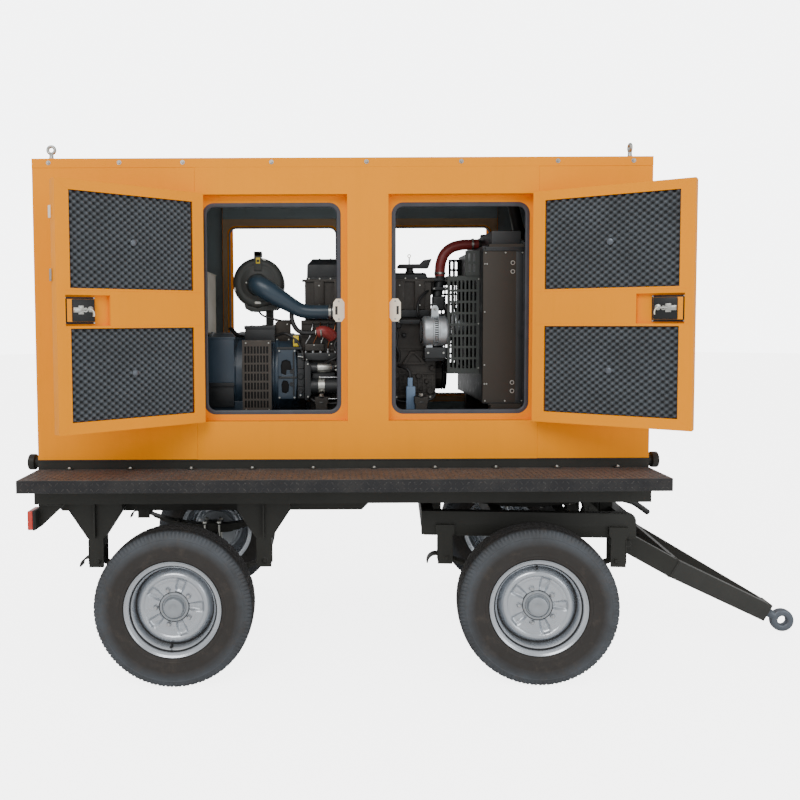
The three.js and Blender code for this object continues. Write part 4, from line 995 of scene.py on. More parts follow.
# ------------------------------------------------------------------ deck and tail
def build_deck():
    """Checker plate and its raised lozenges, and the two tail lamps."""
    dress("deck_platform", "plate", 2.2)
    tread = Piece("checker_tread", "chassis", "plate", slot="deck_plate")
    pitch = 27.0

    def lozenge(centre, along, out):
        out = Vector(out)
        across = out.cross(along)
        half, w, height = 10.5, 3.25, 1.5
        rim = [along * half, along * half * 0.45 + across * w, along * -half * 0.45 + across * w,
               along * -half, along * -half * 0.45 - across * w, along * half * 0.45 - across * w]
        base = [centre - out * 0.4 + r for r in rim]
        top = [centre + out * height + r * 0.62 for r in rim]
        n = len(rim)
        made = [tread.bm.verts.new(v) for v in base + top]
        tread.bm.faces.new(made[:n][::-1])
        tread.bm.faces.new(made[n:])
        for i in range(n):
            j = (i + 1) % n
            tread.bm.faces.new((made[i], made[j], made[j + n], made[i + n]))

    def patch(origin, u, v, nu, nv, out):
        u, v = Vector(u), Vector(v)
        for i in range(nu):
            for j in range(nv):
                along = (u + v) if (i + j) % 2 else (u - v)
                lozenge(Vector(origin) + u * (pitch * (i + 0.5)) + v * (pitch * (j + 0.5)),
                        along.normalized(), out)

    for side in BOTH:
        patch((-1498, side * 562, 990), AHEAD, (0, side, 0), 111, 9, UP)
        patch((-1498, side * 813, 984), AHEAD, DOWN, 111, 2, (0, side, 0))
    for end in (-1, 1):
        patch((end * 1509, -796, 984), TO_FAR, DOWN, 59, 2, (end, 0, 0))
    tread.done(25)
    for side, label in SIDES:
        lamp = Piece(f"{label}_tail_lamp", "chassis", "lens", slot="lamp_orange",
                     replaces=(f"{label}_tail_light",))
        y = side * 600
        bracket = [(-1484, 722), (-1484, 836.4), (-1360, 836.4), (-1360, 829), (-1474, 722)]
        lamp.use("black").extrude(bracket, "xz", (y - 3, y + 3), round_mm=0.8)
        lamp.box((-1489, y - 52, 718), (-1482, y + 52, 812), 2)
        lamp.box((-1470, y - 22, 829), (-1366, y + 22, 836.2), 1.5)
        lamp.use("rubber").box((-1496, y - 54.5, 715.5), (-1488, y + 54.5, 812.5), 3)
        lamp.use("lens").box((-1522, y - 52.5, 717.5), (-1495, y + 52.5, 810.5), 7, 4)
        for i in range(7):
            lamp.box((-1523.6, y - 46, 726 + i * 11.5), (-1520.5, y + 46, 730 + i * 11.5), 1.2)
        for dy in (-40, 40):
            lamp.use("zinc").bolt((-1522, y + dy, 764), ASTERN, 6, 2, n=14)
        wire = smooth_path([(-1486, y + 10, 780), (-1462, y + 16, 786), (-1430, y + 14, 806),
                            (-1405, y + 6, 838)], 5)
        lamp.use("rubber").tube(wire, 3.2, 8)
        lamp.done(35)


# ------------------------------------------------------------------ wheels
LUGS = [37 + 72 * i for i in range(5)]


def tyre_piece(name, body, m, node):
    """A ribbed tyre with shoulder blocks, cut rib edges and rings on its wall."""
    piece = Piece(name, body, "tyre", m, "tyre_rubber", (node,))
    half = [(206.8, 62), (209, 66), (218, 69.5), (226, 71), (231, 75.5), (233.5, 80), (240, 82), (246, 83),
            (249, 85.3), (252, 84.8), (268, 89), (286, 91.6), (300, 91.8), (303, 92.6), (307, 91.7),
            (322, 90), (333, 88), (336, 89.2), (339, 88.5), (343, 87), (352, 84.5), (360, 81), (366, 76),
            (370.5, 69), (372.6, 60)]
    crown = [(373.6, 46), (373.8, 40), (367, 38.5), (367, 33), (374.3, 31.5), (374.8, 18), (368, 16.5),
             (368, 11), (374.9, 9.5), (375, 0)]
    outline = half + crown
    profile = outline + [(r, -y) for r, y in reversed(outline[:-1])]
    count = 360
    verts = []
    for i in range(count):
        a = 2 * math.pi * i / count
        for r, y in profile:
            reach = abs(y)
            cut = 0.0
            if r > 341 and reach > 60 and i % 3 == 0:
                cut = 4.2 if r > 350 else 2.6
            elif r > 369 and 42 < reach <= 60 and i % 6 == 0:
                cut = 4.0
            elif r > 372 and reach < 33 and (i + (2 if y > 0 else 0)) % 5 == 0:
                cut = 3.2
            rr = r - cut * (0.7 if r < 350 else 1.0)
            yy = y - math.copysign(cut * 0.5, y) if reach > 60 else y
            verts.append((rr * math.cos(a), yy, rr * math.sin(a)))
    piece.solid(verts, skin(count, len(profile), closed=True))
    return piece.done(28, attributes={"ring": lambda p: (math.hypot(p.x, p.z) - 206) / 169})


def rim_piece(name, body, m, node, valve_angle):
    """Pressed disc with five raised lug pads, rim well, hub and cap. +y is outwards."""
    piece = Piece(name, body, "wheel", m, "wheel_silver", (node,))
    # barrel: one closed section
    barrel = [(181, -4), (187, 6), (188.5, 22), (189, 40), (193, 50), (199, 55), (203.5, 60), (205.2, 66),
              (208, 70.5), (216, 73), (221, 75), (224.6, 79), (227.4, 80.2), (229, 78), (228, 74.6),
              (224, 71.2), (216, 67.6), (209.5, 64), (206.4, 58), (205.6, 20), (199, 8), (194, -8),
              (194, -30), (204, -42), (205.6, -60), (209.5, -64), (216, -67.6), (224, -71.2), (228, -74.6),
              (229, -78), (227.4, -80.2), (224.6, -79), (216, -73), (204, -69), (199, -58), (189, -44),
              (185, -30), (183, -14)]
    piece.use("wheel").lathe(barrel, (0, 0, 0), TO_FAR, 96)

    def height(r, a):
        dome = 24 + 21 * math.exp(-((r - 152) / 19) ** 2) - 14 * max(0, (r - 168) / 12)
        if r < 150:
            t = share((150 - r) / 30)
            dome = 45 - 17 * (t * t * (3 - 2 * t))
        nearest = min(abs((a - lug + 180) % 360 - 180) for lug in LUGS)
        if r < 140:
            side = 1 - share((nearest - (22 + (r - 70) * 0.03)) / 6)
            rise = share((138 - r) / 10) * share((r - 66) / 6)
            pad = side * rise
            notch_side = 1 - side
            dome += 8.5 * pad
            dome -= 6.5 * notch_side * share((146 - r) / 12) * share((r - 74) / 8)
            dome += 6.0 * math.exp(-((nearest - 36) / 7.5) ** 2) * math.exp(-((r - 112) / 17) ** 2)
        seat = min(math.hypot(r * math.cos(math.radians(a)) - 85 * math.cos(math.radians(g)),
                              r * math.sin(math.radians(a)) - 85 * math.sin(math.radians(g))) for g in LUGS)
        dome -= 3.0 * math.exp(-(seat / 12) ** 4)
        return dome

    radii = [58, 62, 66, 69, 72, 75, 79, 83, 87, 91, 96, 101, 106, 111, 116, 121, 126, 130, 134, 138, 142,
             147, 152, 158, 163, 168, 173, 177, 180, 182.4]
    count = 200
    verts = []
    for i in range(count):
        a = 360 * i / count
        c, s = math.cos(math.radians(a)), math.sin(math.radians(a))
        for r in radii:
            verts.append((r * c, height(r, a), r * s))
        for r in reversed(radii):
            verts.append((r * c, height(r, a) - 5.5, r * s))
    piece.solid(verts, skin(count, 2 * len(radii), closed=True))
    # hub flange, drum behind the disc, cap
    hub_outline = [(122, -72), (123.5, -70), (123.5, -8), (118, -3), (64, 8), (64, 30), (68.6, 31.5),
                   (69.4, 35), (67, 37.4), (58, 37.8), (54, 33), (50, 33), (47.5, 36), (46.2, 56),
                   (44, 61.5), (38, 64), (20, 64.6), (17, 62.8)]
    piece.use("hub").turned(hub_outline, (0, 0, 0), TO_FAR, 56)
    for lug in LUGS:
        c, s = math.cos(math.radians(lug)), math.sin(math.radians(lug))
        at = (85 * c, height(85, lug) - 1, 85 * s)
        # painted shade: a dark disc round the foot of each nut
        piece.use("rubber").turned([(15, 0), (15, 2)], at, TO_FAR, 20)
        nut = [(0, 0), (12.5, 0), (12.5, 3), (10.5, 5), (10.5, 13), (8.4, 16.5), (0, 17.5)]
        piece.use("steel").lathe(nut, at, TO_FAR, 6, start=0.4)
        piece.rod(Vector(at) + Vector((0, 16, 0)), Vector(at) + Vector((0, 21.5, 0)), 5.4, 14)
    piece.use("zinc").bolt_circle((0, 37.6, 0), TO_FAR, 60.5, 4, 20, 6, 2.2)
    # painted shade lines: disc to barrel, bead seat, hub flange
    piece.use("rubber").lathe([(182, 5), (187.2, 5), (187.9, 12.5), (182, 10.5)], (0, 0, 0), TO_FAR, 96)
    piece.lathe([(200.2, 55), (204.2, 59.6), (205.6, 65.5), (203.9, 66), (202, 61.2), (199, 57.6)],
                (0, 0, 0), TO_FAR, 96)
    piece.lathe([(66.8, 30), (71.2, 30), (71.2, 36.4), (69.8, 37)], (0, 0, 0), TO_FAR, 56)
    v = math.radians(valve_angle)
    c, s = math.cos(v), math.sin(v)
    piece.use("rubber").rod((187 * c, 28, 187 * s), (184 * c, 50, 184 * s), 6.2, 16, 1.5, 4.6)
    piece.use("zinc").rod((184 * c, 50, 184 * s), (183 * c, 62, 183 * s), 3.2, 12)
    piece.use("rubber").rod((183 * c, 58, 183 * s), (182.6 * c, 68, 182.6 * s), 4.6, 14)
    return piece.done(33)


def build_wheels():
    for end, base in (("rear", REAR_AXLE), ("front", FRONT_AXLE)):
        for side, label in SIDES:
            m = base @ Matrix.Translation((0, side * WHEEL_Y, 0)) @ Matrix.Diagonal((1, side, 1, 1))
            body = f"{end}_{label}_wheel"
            tyre_piece(f"{end}_{label}_road_tyre", body, m, f"{end}_{label}_tyre")
            rim_piece(f"{end}_{label}_road_rim", body, m, f"{end}_{label}_rim",
                      -94 if end == "rear" else 92)


# ------------------------------------------------------------------ axles and springs
def axle_piece(end, base):
    """A square beam with stub ends, spring pads, U-bolts and their nuts."""
    piece = Piece(f"{end}_axle_beam", f"{end}_axle", "black", base, "black_paint", (f"{end}_axle",))
    piece.use("black").box((-30, -574, -30), (30, 574, 30), 5, 3)
    for side in BOTH:
        y = side * SPRING_Y
        piece.turned([(32, 0), (34, 3), (34, 16), (26, 22), (26, 60), (24.6, 62), (24.6, 158)],
                     (0, side * 560, 0), (0, side, 0), 32)
        piece.box((-60, y - 55, 83.5), (60, y + 55, 93), 2)
        piece.box((-60, y - 55, -42), (60, y + 55, -30), 2)
        for x in (-44, 44):
            for dy in (-44, 44):
                piece.use("zinc").rod((x, y + dy, -49), (x, y + dy, 101.5), 7.2, 16)
                piece.turned([(13.5, 0), (13.5, 11), (11.5, 13)], (x, y + dy, 93), UP, 6)
            arch = [(x, y - 44, -46), (x, y - 38, -50.5), (x, y, -51), (x, y + 38, -50.5), (x, y + 44, -46)]
            piece.use("black").hose(arch, 7.2, 12, 4)
    piece.done(35)


def spring_piece(end, base, label, side, body):
    """Seven leaves, rebound clips and rolled eyes."""
    name = f"{end}_{label}_spring_pack"
    piece = Piece(name, body, "black", base @ Matrix.Translation((0, side * SPRING_Y, 0)), "spring_steel",
                  (f"{end}_{label}_leaf_spring",))
    top, arch, half = 80.0, 80.0, 412.0
    eye_z = top + arch
    leaves, thick, steps = 7, 6.8, 12

    def leaf_z(x):
        return top + arch * (x / half) ** 2

    for k in range(leaves):
        reach = half * (1 - 0.115 * k) if k else half - 14
        xs = [reach * i / steps for i in range(-steps, steps + 1)]
        outline = [(x, leaf_z(x) - k * (thick + 0.25)) for x in xs]
        lower = [(x, z - thick * (0.55 if abs(x) > reach * 0.97 else 1)) for x, z in reversed(outline)]
        wide = 34 if k < 2 else 33.4
        piece.use("black").extrude(outline + lower, "xz", (-wide, wide), round_mm=1.0, segments=1)
    for x in (-half, half):
        piece.use("black").ring((x, 0, eye_z - 3), TO_FAR, 9.5, 17.5, 68, 28, 1.2)
        piece.use("steel").rod((x, -38, eye_z - 3), (x, 38, eye_z - 3), 9.2, 20)
    piece.use("black")
    for x in (-215, 215):
        z = leaf_z(x)
        piece.box((x - 11, -37, z - 33), (x + 11, 37, z + 3), 1.5)
    hook = [(-402, 0, eye_z - 4), (-440, 0, eye_z + 9), (-480, 0, eye_z + 7), (-502, 0, eye_z - 12),
            (-508, 0, eye_z - 34)]
    piece.sweep(smooth_path(hook, 5), [(-3.6, -30), (3.6, -30), (3.6, 30), (-3.6, 30)], up=TO_FAR)
    obj = piece.done(35)
    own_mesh(obj)


def build_running_gear():
    for end, base, body in (("rear", REAR_AXLE, "chassis"), ("front", FRONT_AXLE, "bogie")):
        axle_piece(end, base)
        for side, label in SIDES:
            spring_piece(end, base, label, side, body)


# ------------------------------------------------------------------ chassis, bogie, drawbar
def bead(piece, points, r=3.2, seed=1):
    """A weld bead: a rippled tube along a line."""
    pts = []
    for a, b in zip(points, points[1:]):
        a, b = Vector(a), Vector(b)
        n = max(2, int((b - a).length / 5))
        pts += [a.lerp(b, i / n) for i in range(n)]
    pts.append(Vector(points[-1]))
    scales = [1 + 0.22 * math.sin(i * 2.1 + seed) for i in range(len(pts))]
    piece.tube(pts, r, 6, scales=scales)


def build_chassis():
    """Finishes of the frames, weld beads and hanger plates."""
    dress("chassis_frame", "black", 3.0)
    dress("turntable_ring", "black", 1.0)
    dress("bogie_frame", "black", 3.0)
    dress("drawbar", "black", 4.0, segments=3)
    seams = Piece("frame_welds", "chassis", "black", slot="black_paint")
    for side in BOTH:
        for x in (REAR_AXLE_X - 422, REAR_AXLE_X + 408):
            for dx in (-36, 36):
                y = side * (SPRING_Y + 46.4)
                bead(seams, [(x + dx, y, 520), (x + dx, y, 640)], 2.4, x)
            for dx, tx in ((-36, -130), (36, 130)):
                bead(seams, [(x + dx, side * 546.6, 646), (x + tx, side * 546.6, 789)], 2.4, x)
            seams.use("black").bolt((x + (10 if x < REAR_AXLE_X else 4), side * 546, 535), (0, side, 0), 19,
                                    9, washer=True)
            seams.box((x - 4, side * 546, 655), (x + 4, side * 572, 836), 2)
        for i in range(18):
            x = -1420 + i * 168
            bead(seams, [(x, side * 625, 983), (x + 42, side * 625, 983)], 3.0, i)
    seams.done(50)


def build_bogie():
    """Welds, bolts and races of the turntable, and the brake lever."""
    hard = Piece("bogie_fittings", "bogie", "black", BOGIE, "black_paint")
    for side in BOTH:
        for x in (-420, 424):
            hard.use("black").bolt((x + (8 if x < 0 else -12), side * 546, 535), (0, side, 0), 18, 9,
                                   washer=True)
            for dx in (-36, 36):
                bead(hard, [(x + dx, side * 546.6, 520), (x + dx, side * 546.6, 640)], 2.4, x)
        bead(hard, [(-525, side * 525.6, 645), (505, side * 525.6, 645)], 2.6, 3)
        for offset in (-34, 34):
            y = side * 380 + offset
            outer = y + math.copysign(6.4, offset)
            bead(hard, [(449, outer, 646), (492, outer, 646)], 2.6, 4)
        hard.use("black").turned([(20, 0), (20, 9), (17, 12)], (DRAWBAR_X, side * 426, DRAWBAR_Z),
                                 (0, side, 0), 6)
    hard.use("zinc").bolt_circle((0, 0, 755), DOWN, 350, 12, 15, 16, 8, washer=True)
    hard.use("black").ring((0, 0, 772), UP, 309, 391.2, 24.2, 96, 1.5)
    hard.box((-536, 60, 760), (500, 66, 783.5), 1)
    hard.done(35)
    race = Piece("turntable_upper_race", "chassis", "black", TRAILER @ Matrix.Translation((BOGIE_X, 0, 0)),
                 "black_paint")
    race.ring((0, 0, 794.9), UP, 309, 391.2, 19.2, 96, 1.5)
    race.box((-530, 200, 786), (520, 206, 804.5), 1)
    race.done(35)
    lever = Piece("brake_lever_arm", "brake_lever", "lever",
                  BOGIE @ Matrix.Translation((418, -250, 781)), "black_paint", ("brake_lever",))
    lever.use("black").rod((0, -8.8, 0), (0, 8.8, 0), 13, 28)
    arm = smooth_path([(-9, 0, 12), (20, 0, 2), (46, 0, -4), (96, 0, -7), (118, 0, -10)], 6)
    lever.use("lever").sweep(arm, [(-3.5, -7), (3.5, -7), (3.5, 7), (-3.5, 7)], up=UP)
    grip = smooth_path([(84, 0, -3), (120, 0, -9), (160, 0, -22), (200, 0, -48), (238, 0, -76)], 7)
    widths = [0.72 + 0.28 * min(1, i / 5) for i in range(len(grip))]
    widths[-1] = 0.75
    lever.use("rubber").tube(grip, 15, 18, scales=widths)
    lever.done(40)


def build_drawbar():
    """Welds of the drawbar and the forged towing eye."""
    fit = Piece("drawbar_fittings", "drawbar", "black", DRAWBAR, "black_paint")
    for side in BOTH:
        for dz in (-48.2, 48.2):
            bead(fit, [(270, side * 355, dz), (274, side * 405, dz)], 3.4, 2)
        bead(fit, [(276, side * 405.4, -46), (276, side * 405.4, 46)], 3.6, 5)
        bead(fit, [(246, side * 330, 48.4), (246, side * 353, 48.4)], 3.0, 1)
    bead(fit, [(975.5, -60, 48.4), (975.5, 60, 48.4)], 3.2, 7)
    fit.ring((976, 0, 0), AHEAD, 23, 34, 5, 40, 1.2)
    fit.done(45)
    eye = Piece("towing_eye", "tow_eye", "eye", DRAWBAR @ Matrix.Translation((DRAWBAR_LENGTH, 0, 0)),
                "forged_eye", ("tow_eye",))
    section = []
    for i in range(28):
        a = 2 * math.pi * i / 28
        x, y = math.cos(a), math.sin(a)
        section.append((42.3 + 19.9 * math.copysign(abs(x) ** 0.72, x),
                        22 * math.copysign(abs(y) ** 0.72, y)))
    eye.lathe(section, (0, 0, 0), TO_FAR, 72)
    eye.lathe([(0, -202), (20.6, -202), (21, -200), (21, -104), (34, -103), (34.6, -100), (34.6, -92),
               (33, -90), (27, -86), (24, -76), (23.4, -60), (25, -50), (0, -48)], (0, 0, 0), AHEAD, 36)
    eye.use("steel").turned([(29.5, -206), (31, -204), (31, -182), (29.5, -180)],
                            (0, 0, 0), AHEAD, 6)
    eye.done(40)


# ------------------------------------------------------------------ engine bay
def build_engine_bay():
    for node, mat in (("engine_block", "iron"), ("generator_body", "gen"), ("silencer", "engine_black"),
                      ("radiator", "radiator"), ("control_cabinet", "cabinet"), ("fuel_tank", "plastic"),
                      ("battery", "plastic")):
        dress(node, mat, 3.0)
    air_cleaner()
    intake()
    engine_covers()
    engine_near_side()
    engine_far_side()
    flywheel_housing()
    starter()
    alternator()
    belt_drive()
    generator_details()
    cooling()
    guard()
    fan()
    bay_equipment()


def hose_clamp(piece, at, axis, r, width=11, screw=TO_NEAR):
    """A worm-drive band with its screw housing."""
    axis, screw = Vector(axis).normalized(), Vector(screw).normalized()
    at = Vector(at)
    piece.use("zinc").ring(at, axis, r, r + 2.2, width, 36, 0.5)
    side = axis.cross(screw).normalized()
    base = at + screw * (r + 5)
    piece.rod(base - side * 11, base + side * 9, 5.2, 12)
    piece.rod(base + side * 9, base + side * 14, 3.6, 6)


def air_cleaner():
    """The drum with its bands, clips, restriction gauge, cradle and bracket."""
    unit = Piece("air_cleaner", "chassis", "filter", slot="filter_black",
                 replaces=("air_filter",))
    x, z = -452, 1923
    drum = [(110, 0), (124, 5), (129, 12), (129, 226), (137.5, 229), (138, 238), (132, 240), (131, 256),
            (136.6, 259), (137, 272), (134, 279), (129, 288), (121, 295), (106, 299), (98, 296.5),
            (90, 296.5), (86, 299.5), (40, 299.8)]
    unit.use("filter").turned(drum, (x, 170, z), TO_NEAR, 72)
    for y in (-72, 96):
        unit.use("zinc").ring((x, y, z), TO_FAR, 129.4, 131.6, 24, 72, 0.6)
    for i in range(3):
        a = math.radians(75 + 120 * i)
        c, s = math.cos(a), math.sin(a)
        tilt = Matrix.Rotation(-a, 3, "Y")
        unit.use("zinc").box((x + 129 * c - 4, -122, z + 129 * s - 10),
                             (x + 129 * c + 5, -70, z + 129 * s + 10), 2, turn=tilt,
                             pivot=(x + 129 * c, -100, z + 129 * s))
    unit.use("filter").box((-472, -137, 1988), (-430, -129, 2091), 2.5)
    unit.box((-472, -137, 2062), (-430, -84, 2091), 5)
    unit.use("yellow").box((-461, -139.6, 2026), (-439, -136.8, 2058), 1.0)
    unit.use("rubber").box((-457, -140.4, 2034), (-443, -139.2, 2046), 0.5)
    unit.use("zinc").lathe([(0, 0), (6, 0), (6.5, 2), (4, 4.6), (0, 5)], (-513, -129.4, 1924), TO_NEAR, 20)
    unit.box((-470, -133, 1810), (-436, -128, 1822), 1.5)
    cradle = [(-537, 1842), (-522, 1785), (-490, 1767), (-361, 1778), (-331, 1803), (-343, 1842),
              (-400, 1802), (-455, 1787), (-508, 1801)]
    for y0, y1 in ((-118, -62), (70, 118)):
        unit.use("filter").extrude(cradle, "xz", (y0, y1), round_mm=3)
    unit.box((-420, -20, 1690.3), (-380, 60, 1796), 3)
    unit.box((-440, -40, 1690.3), (-360, 80, 1697), 1.5)
    unit.use("radiator").extrude([(-362, 1602), (-276, 1602), (-276, 1724), (-340, 1724), (-362, 1706)],
                                 "xz", (-126, -120), round_mm=1.5)
    unit.box((-362, -126, 1716), (-276, -88, 1724), 1.5)
    for bx, bz in ((-352, 1618), (-288, 1618), (-296, 1700)):
        unit.use("zinc").bolt((bx, -126, bz), TO_NEAR, 8, 4)
    unit.use("rubber").hose([(-452, -108, 1772), (-428, -112, 1748), (-380, -112, 1732),
                             (-316, -112, 1716)], 5.5, 10)
    unit.use("filter").lathe([(60, 0), (60, 10), (55, 18), (53, 34), (0, 34)], (-452, -128, 1912), TO_NEAR,
                             40)
    unit.done(38)


def intake():
    """The air pipe to the turbocharger, its clamps, breather and short red hose."""
    pipe = Piece("intake_elbow", "chassis", "pipe", slot="pipe_blue_grey",
                 replaces=("intake_pipe",))
    path = smooth_path([(-452, -140, 1912), (-450, -166, 1911), (-438, -186, 1904), (-405, -196, 1884),
                        (-355, -197, 1852), (-305, -197, 1822), (-262, -196, 1796), (-222, -195, 1775),
                        (-180, -195, 1766), (-130, -195, 1764), (-60, -195, 1764), (10, -195, 1764)], 6)
    scales = []
    for p in path:
        t = share((-215 - p.x) / 190)
        scales.append(1 + 0.42 * t * t * (3 - 2 * t))
    pipe.use("pipe").tube(path, 37.5, 32, scales=scales)
    hose_clamp(pipe, (-66, -195, 1764), AHEAD, 38, 13, (0, -0.7, 0.7))
    hose_clamp(pipe, (-46, -195, 1764), AHEAD, 41, 12, (0, -0.7, -0.7))
    pipe.use("rubber").tube([(-58, -195, 1764), (-30, -195, 1764), (6, -195, 1764)], 40.5, 28)
    pipe.use("alu").lathe([(0, 0), (44, 0), (46, 6), (46, 26), (58, 34), (74, 48), (82, 66), (80, 86),
                           (62, 98), (38, 104), (0, 106)], (6, -195, 1764), AHEAD, 44)
    pipe.lathe([(0, 0), (30, 0), (34, 6), (30, 12), (30, 60), (38, 64), (0, 66)], (68, -195, 1700), DOWN,
               28)
    crank = smooth_path([(-268, -178, 1770), (-268, -196, 1735), (-258, -204, 1700), (-236, -206, 1668),
                         (-200, -206, 1655), (-150, -208, 1655), (-118, -210, 1657)], 6)
    pipe.use("rubber").tube(crank, 12.5, 16)
    hose_clamp(pipe, (-140, -208, 1655), AHEAD, 12.6, 8, (0, -1, 0.2))
    red = smooth_path([(-132, -214, 1656), (-108, -216, 1661), (-86, -214, 1658), (-64, -206, 1646),
                       (-50, -196, 1630)], 5)
    pipe.use("hose").tube(red, 30.5, 24, scales=[0.9 + 0.1 * min(1, i / 4) for i in range(len(red))])
    hose_clamp(pipe, (-112, -215, 1659), (1, 0, 0.1), 29, 9, TO_NEAR)
    pipe.done(40)


def engine_covers():
    """Rocker covers with their bolts, oil cap, breather beak and dipstick."""
    cover = Piece("rocker_covers", "chassis", "engine_black", slot="engine_black",
                  replaces=("rocker_cover",))
    cover.use("engine_black").box((-193, -98, 1940.3), (468, 98, 1952), 2.5)

    def hood(x0, x1, half, z0, z1, z2, slope):
        verts, faces = [], []
        for z, dx, h in ((z0, 0, half), (z1, 2, half - 1), (z2, slope, half - slope)):
            verts += [(x0 + dx, -h, z), (x1 - dx, -h, z), (x1 - dx, h, z), (x0 + dx, h, z)]
        faces = [(3, 2, 1, 0), (8, 9, 10, 11)]
        for k in (0, 4):
            for i in range(4):
                faces.append((k + i, k + (i + 1) % 4, k + 4 + (i + 1) % 4, k + 4 + i))
        cover.solid(verts, faces, 4.0, 3, 12)

    hood(-190, 236, 93, 1951, 2022, 2055, 31)
    hood(244, 464, 91, 1951, 1964, 1977, 10)
    for x in (-120, -60, 0, 60, 120, 180):
        cover.box((x - 4, -60, 2050), (x + 4, 60, 2058.5), 2)
    for x in range(-178, 460, 58):
        for side in BOTH:
            cover.use("zinc").bolt((x, side * 96, 1946), (0, side, 0), 9, 5)
    cover.use("rubber").box((-191, -99.5, 1938), (466, 99.5, 1941.8), 0.8)
    cover.turned([(24, 0), (24, 8), (20, 12), (20, 26)], (372, -52, 1976), UP, 28)
    beak = [(306, 2002), (470, 2001), (474, 2012), (489, 2052), (446, 2046), (424, 2024), (312, 2023),
            (303, 2013)]
    cover.extrude(beak, "xz", (-92, -22), round_mm=4)
    cover.use("zinc").rod((366, -88, 2020), (366, -88, 2058), 3.5, 12)
    cover.use("yellow").torus((366, -88, 2066), TO_FAR, 8, 2.2, 24, 8)
    cover.done(38)


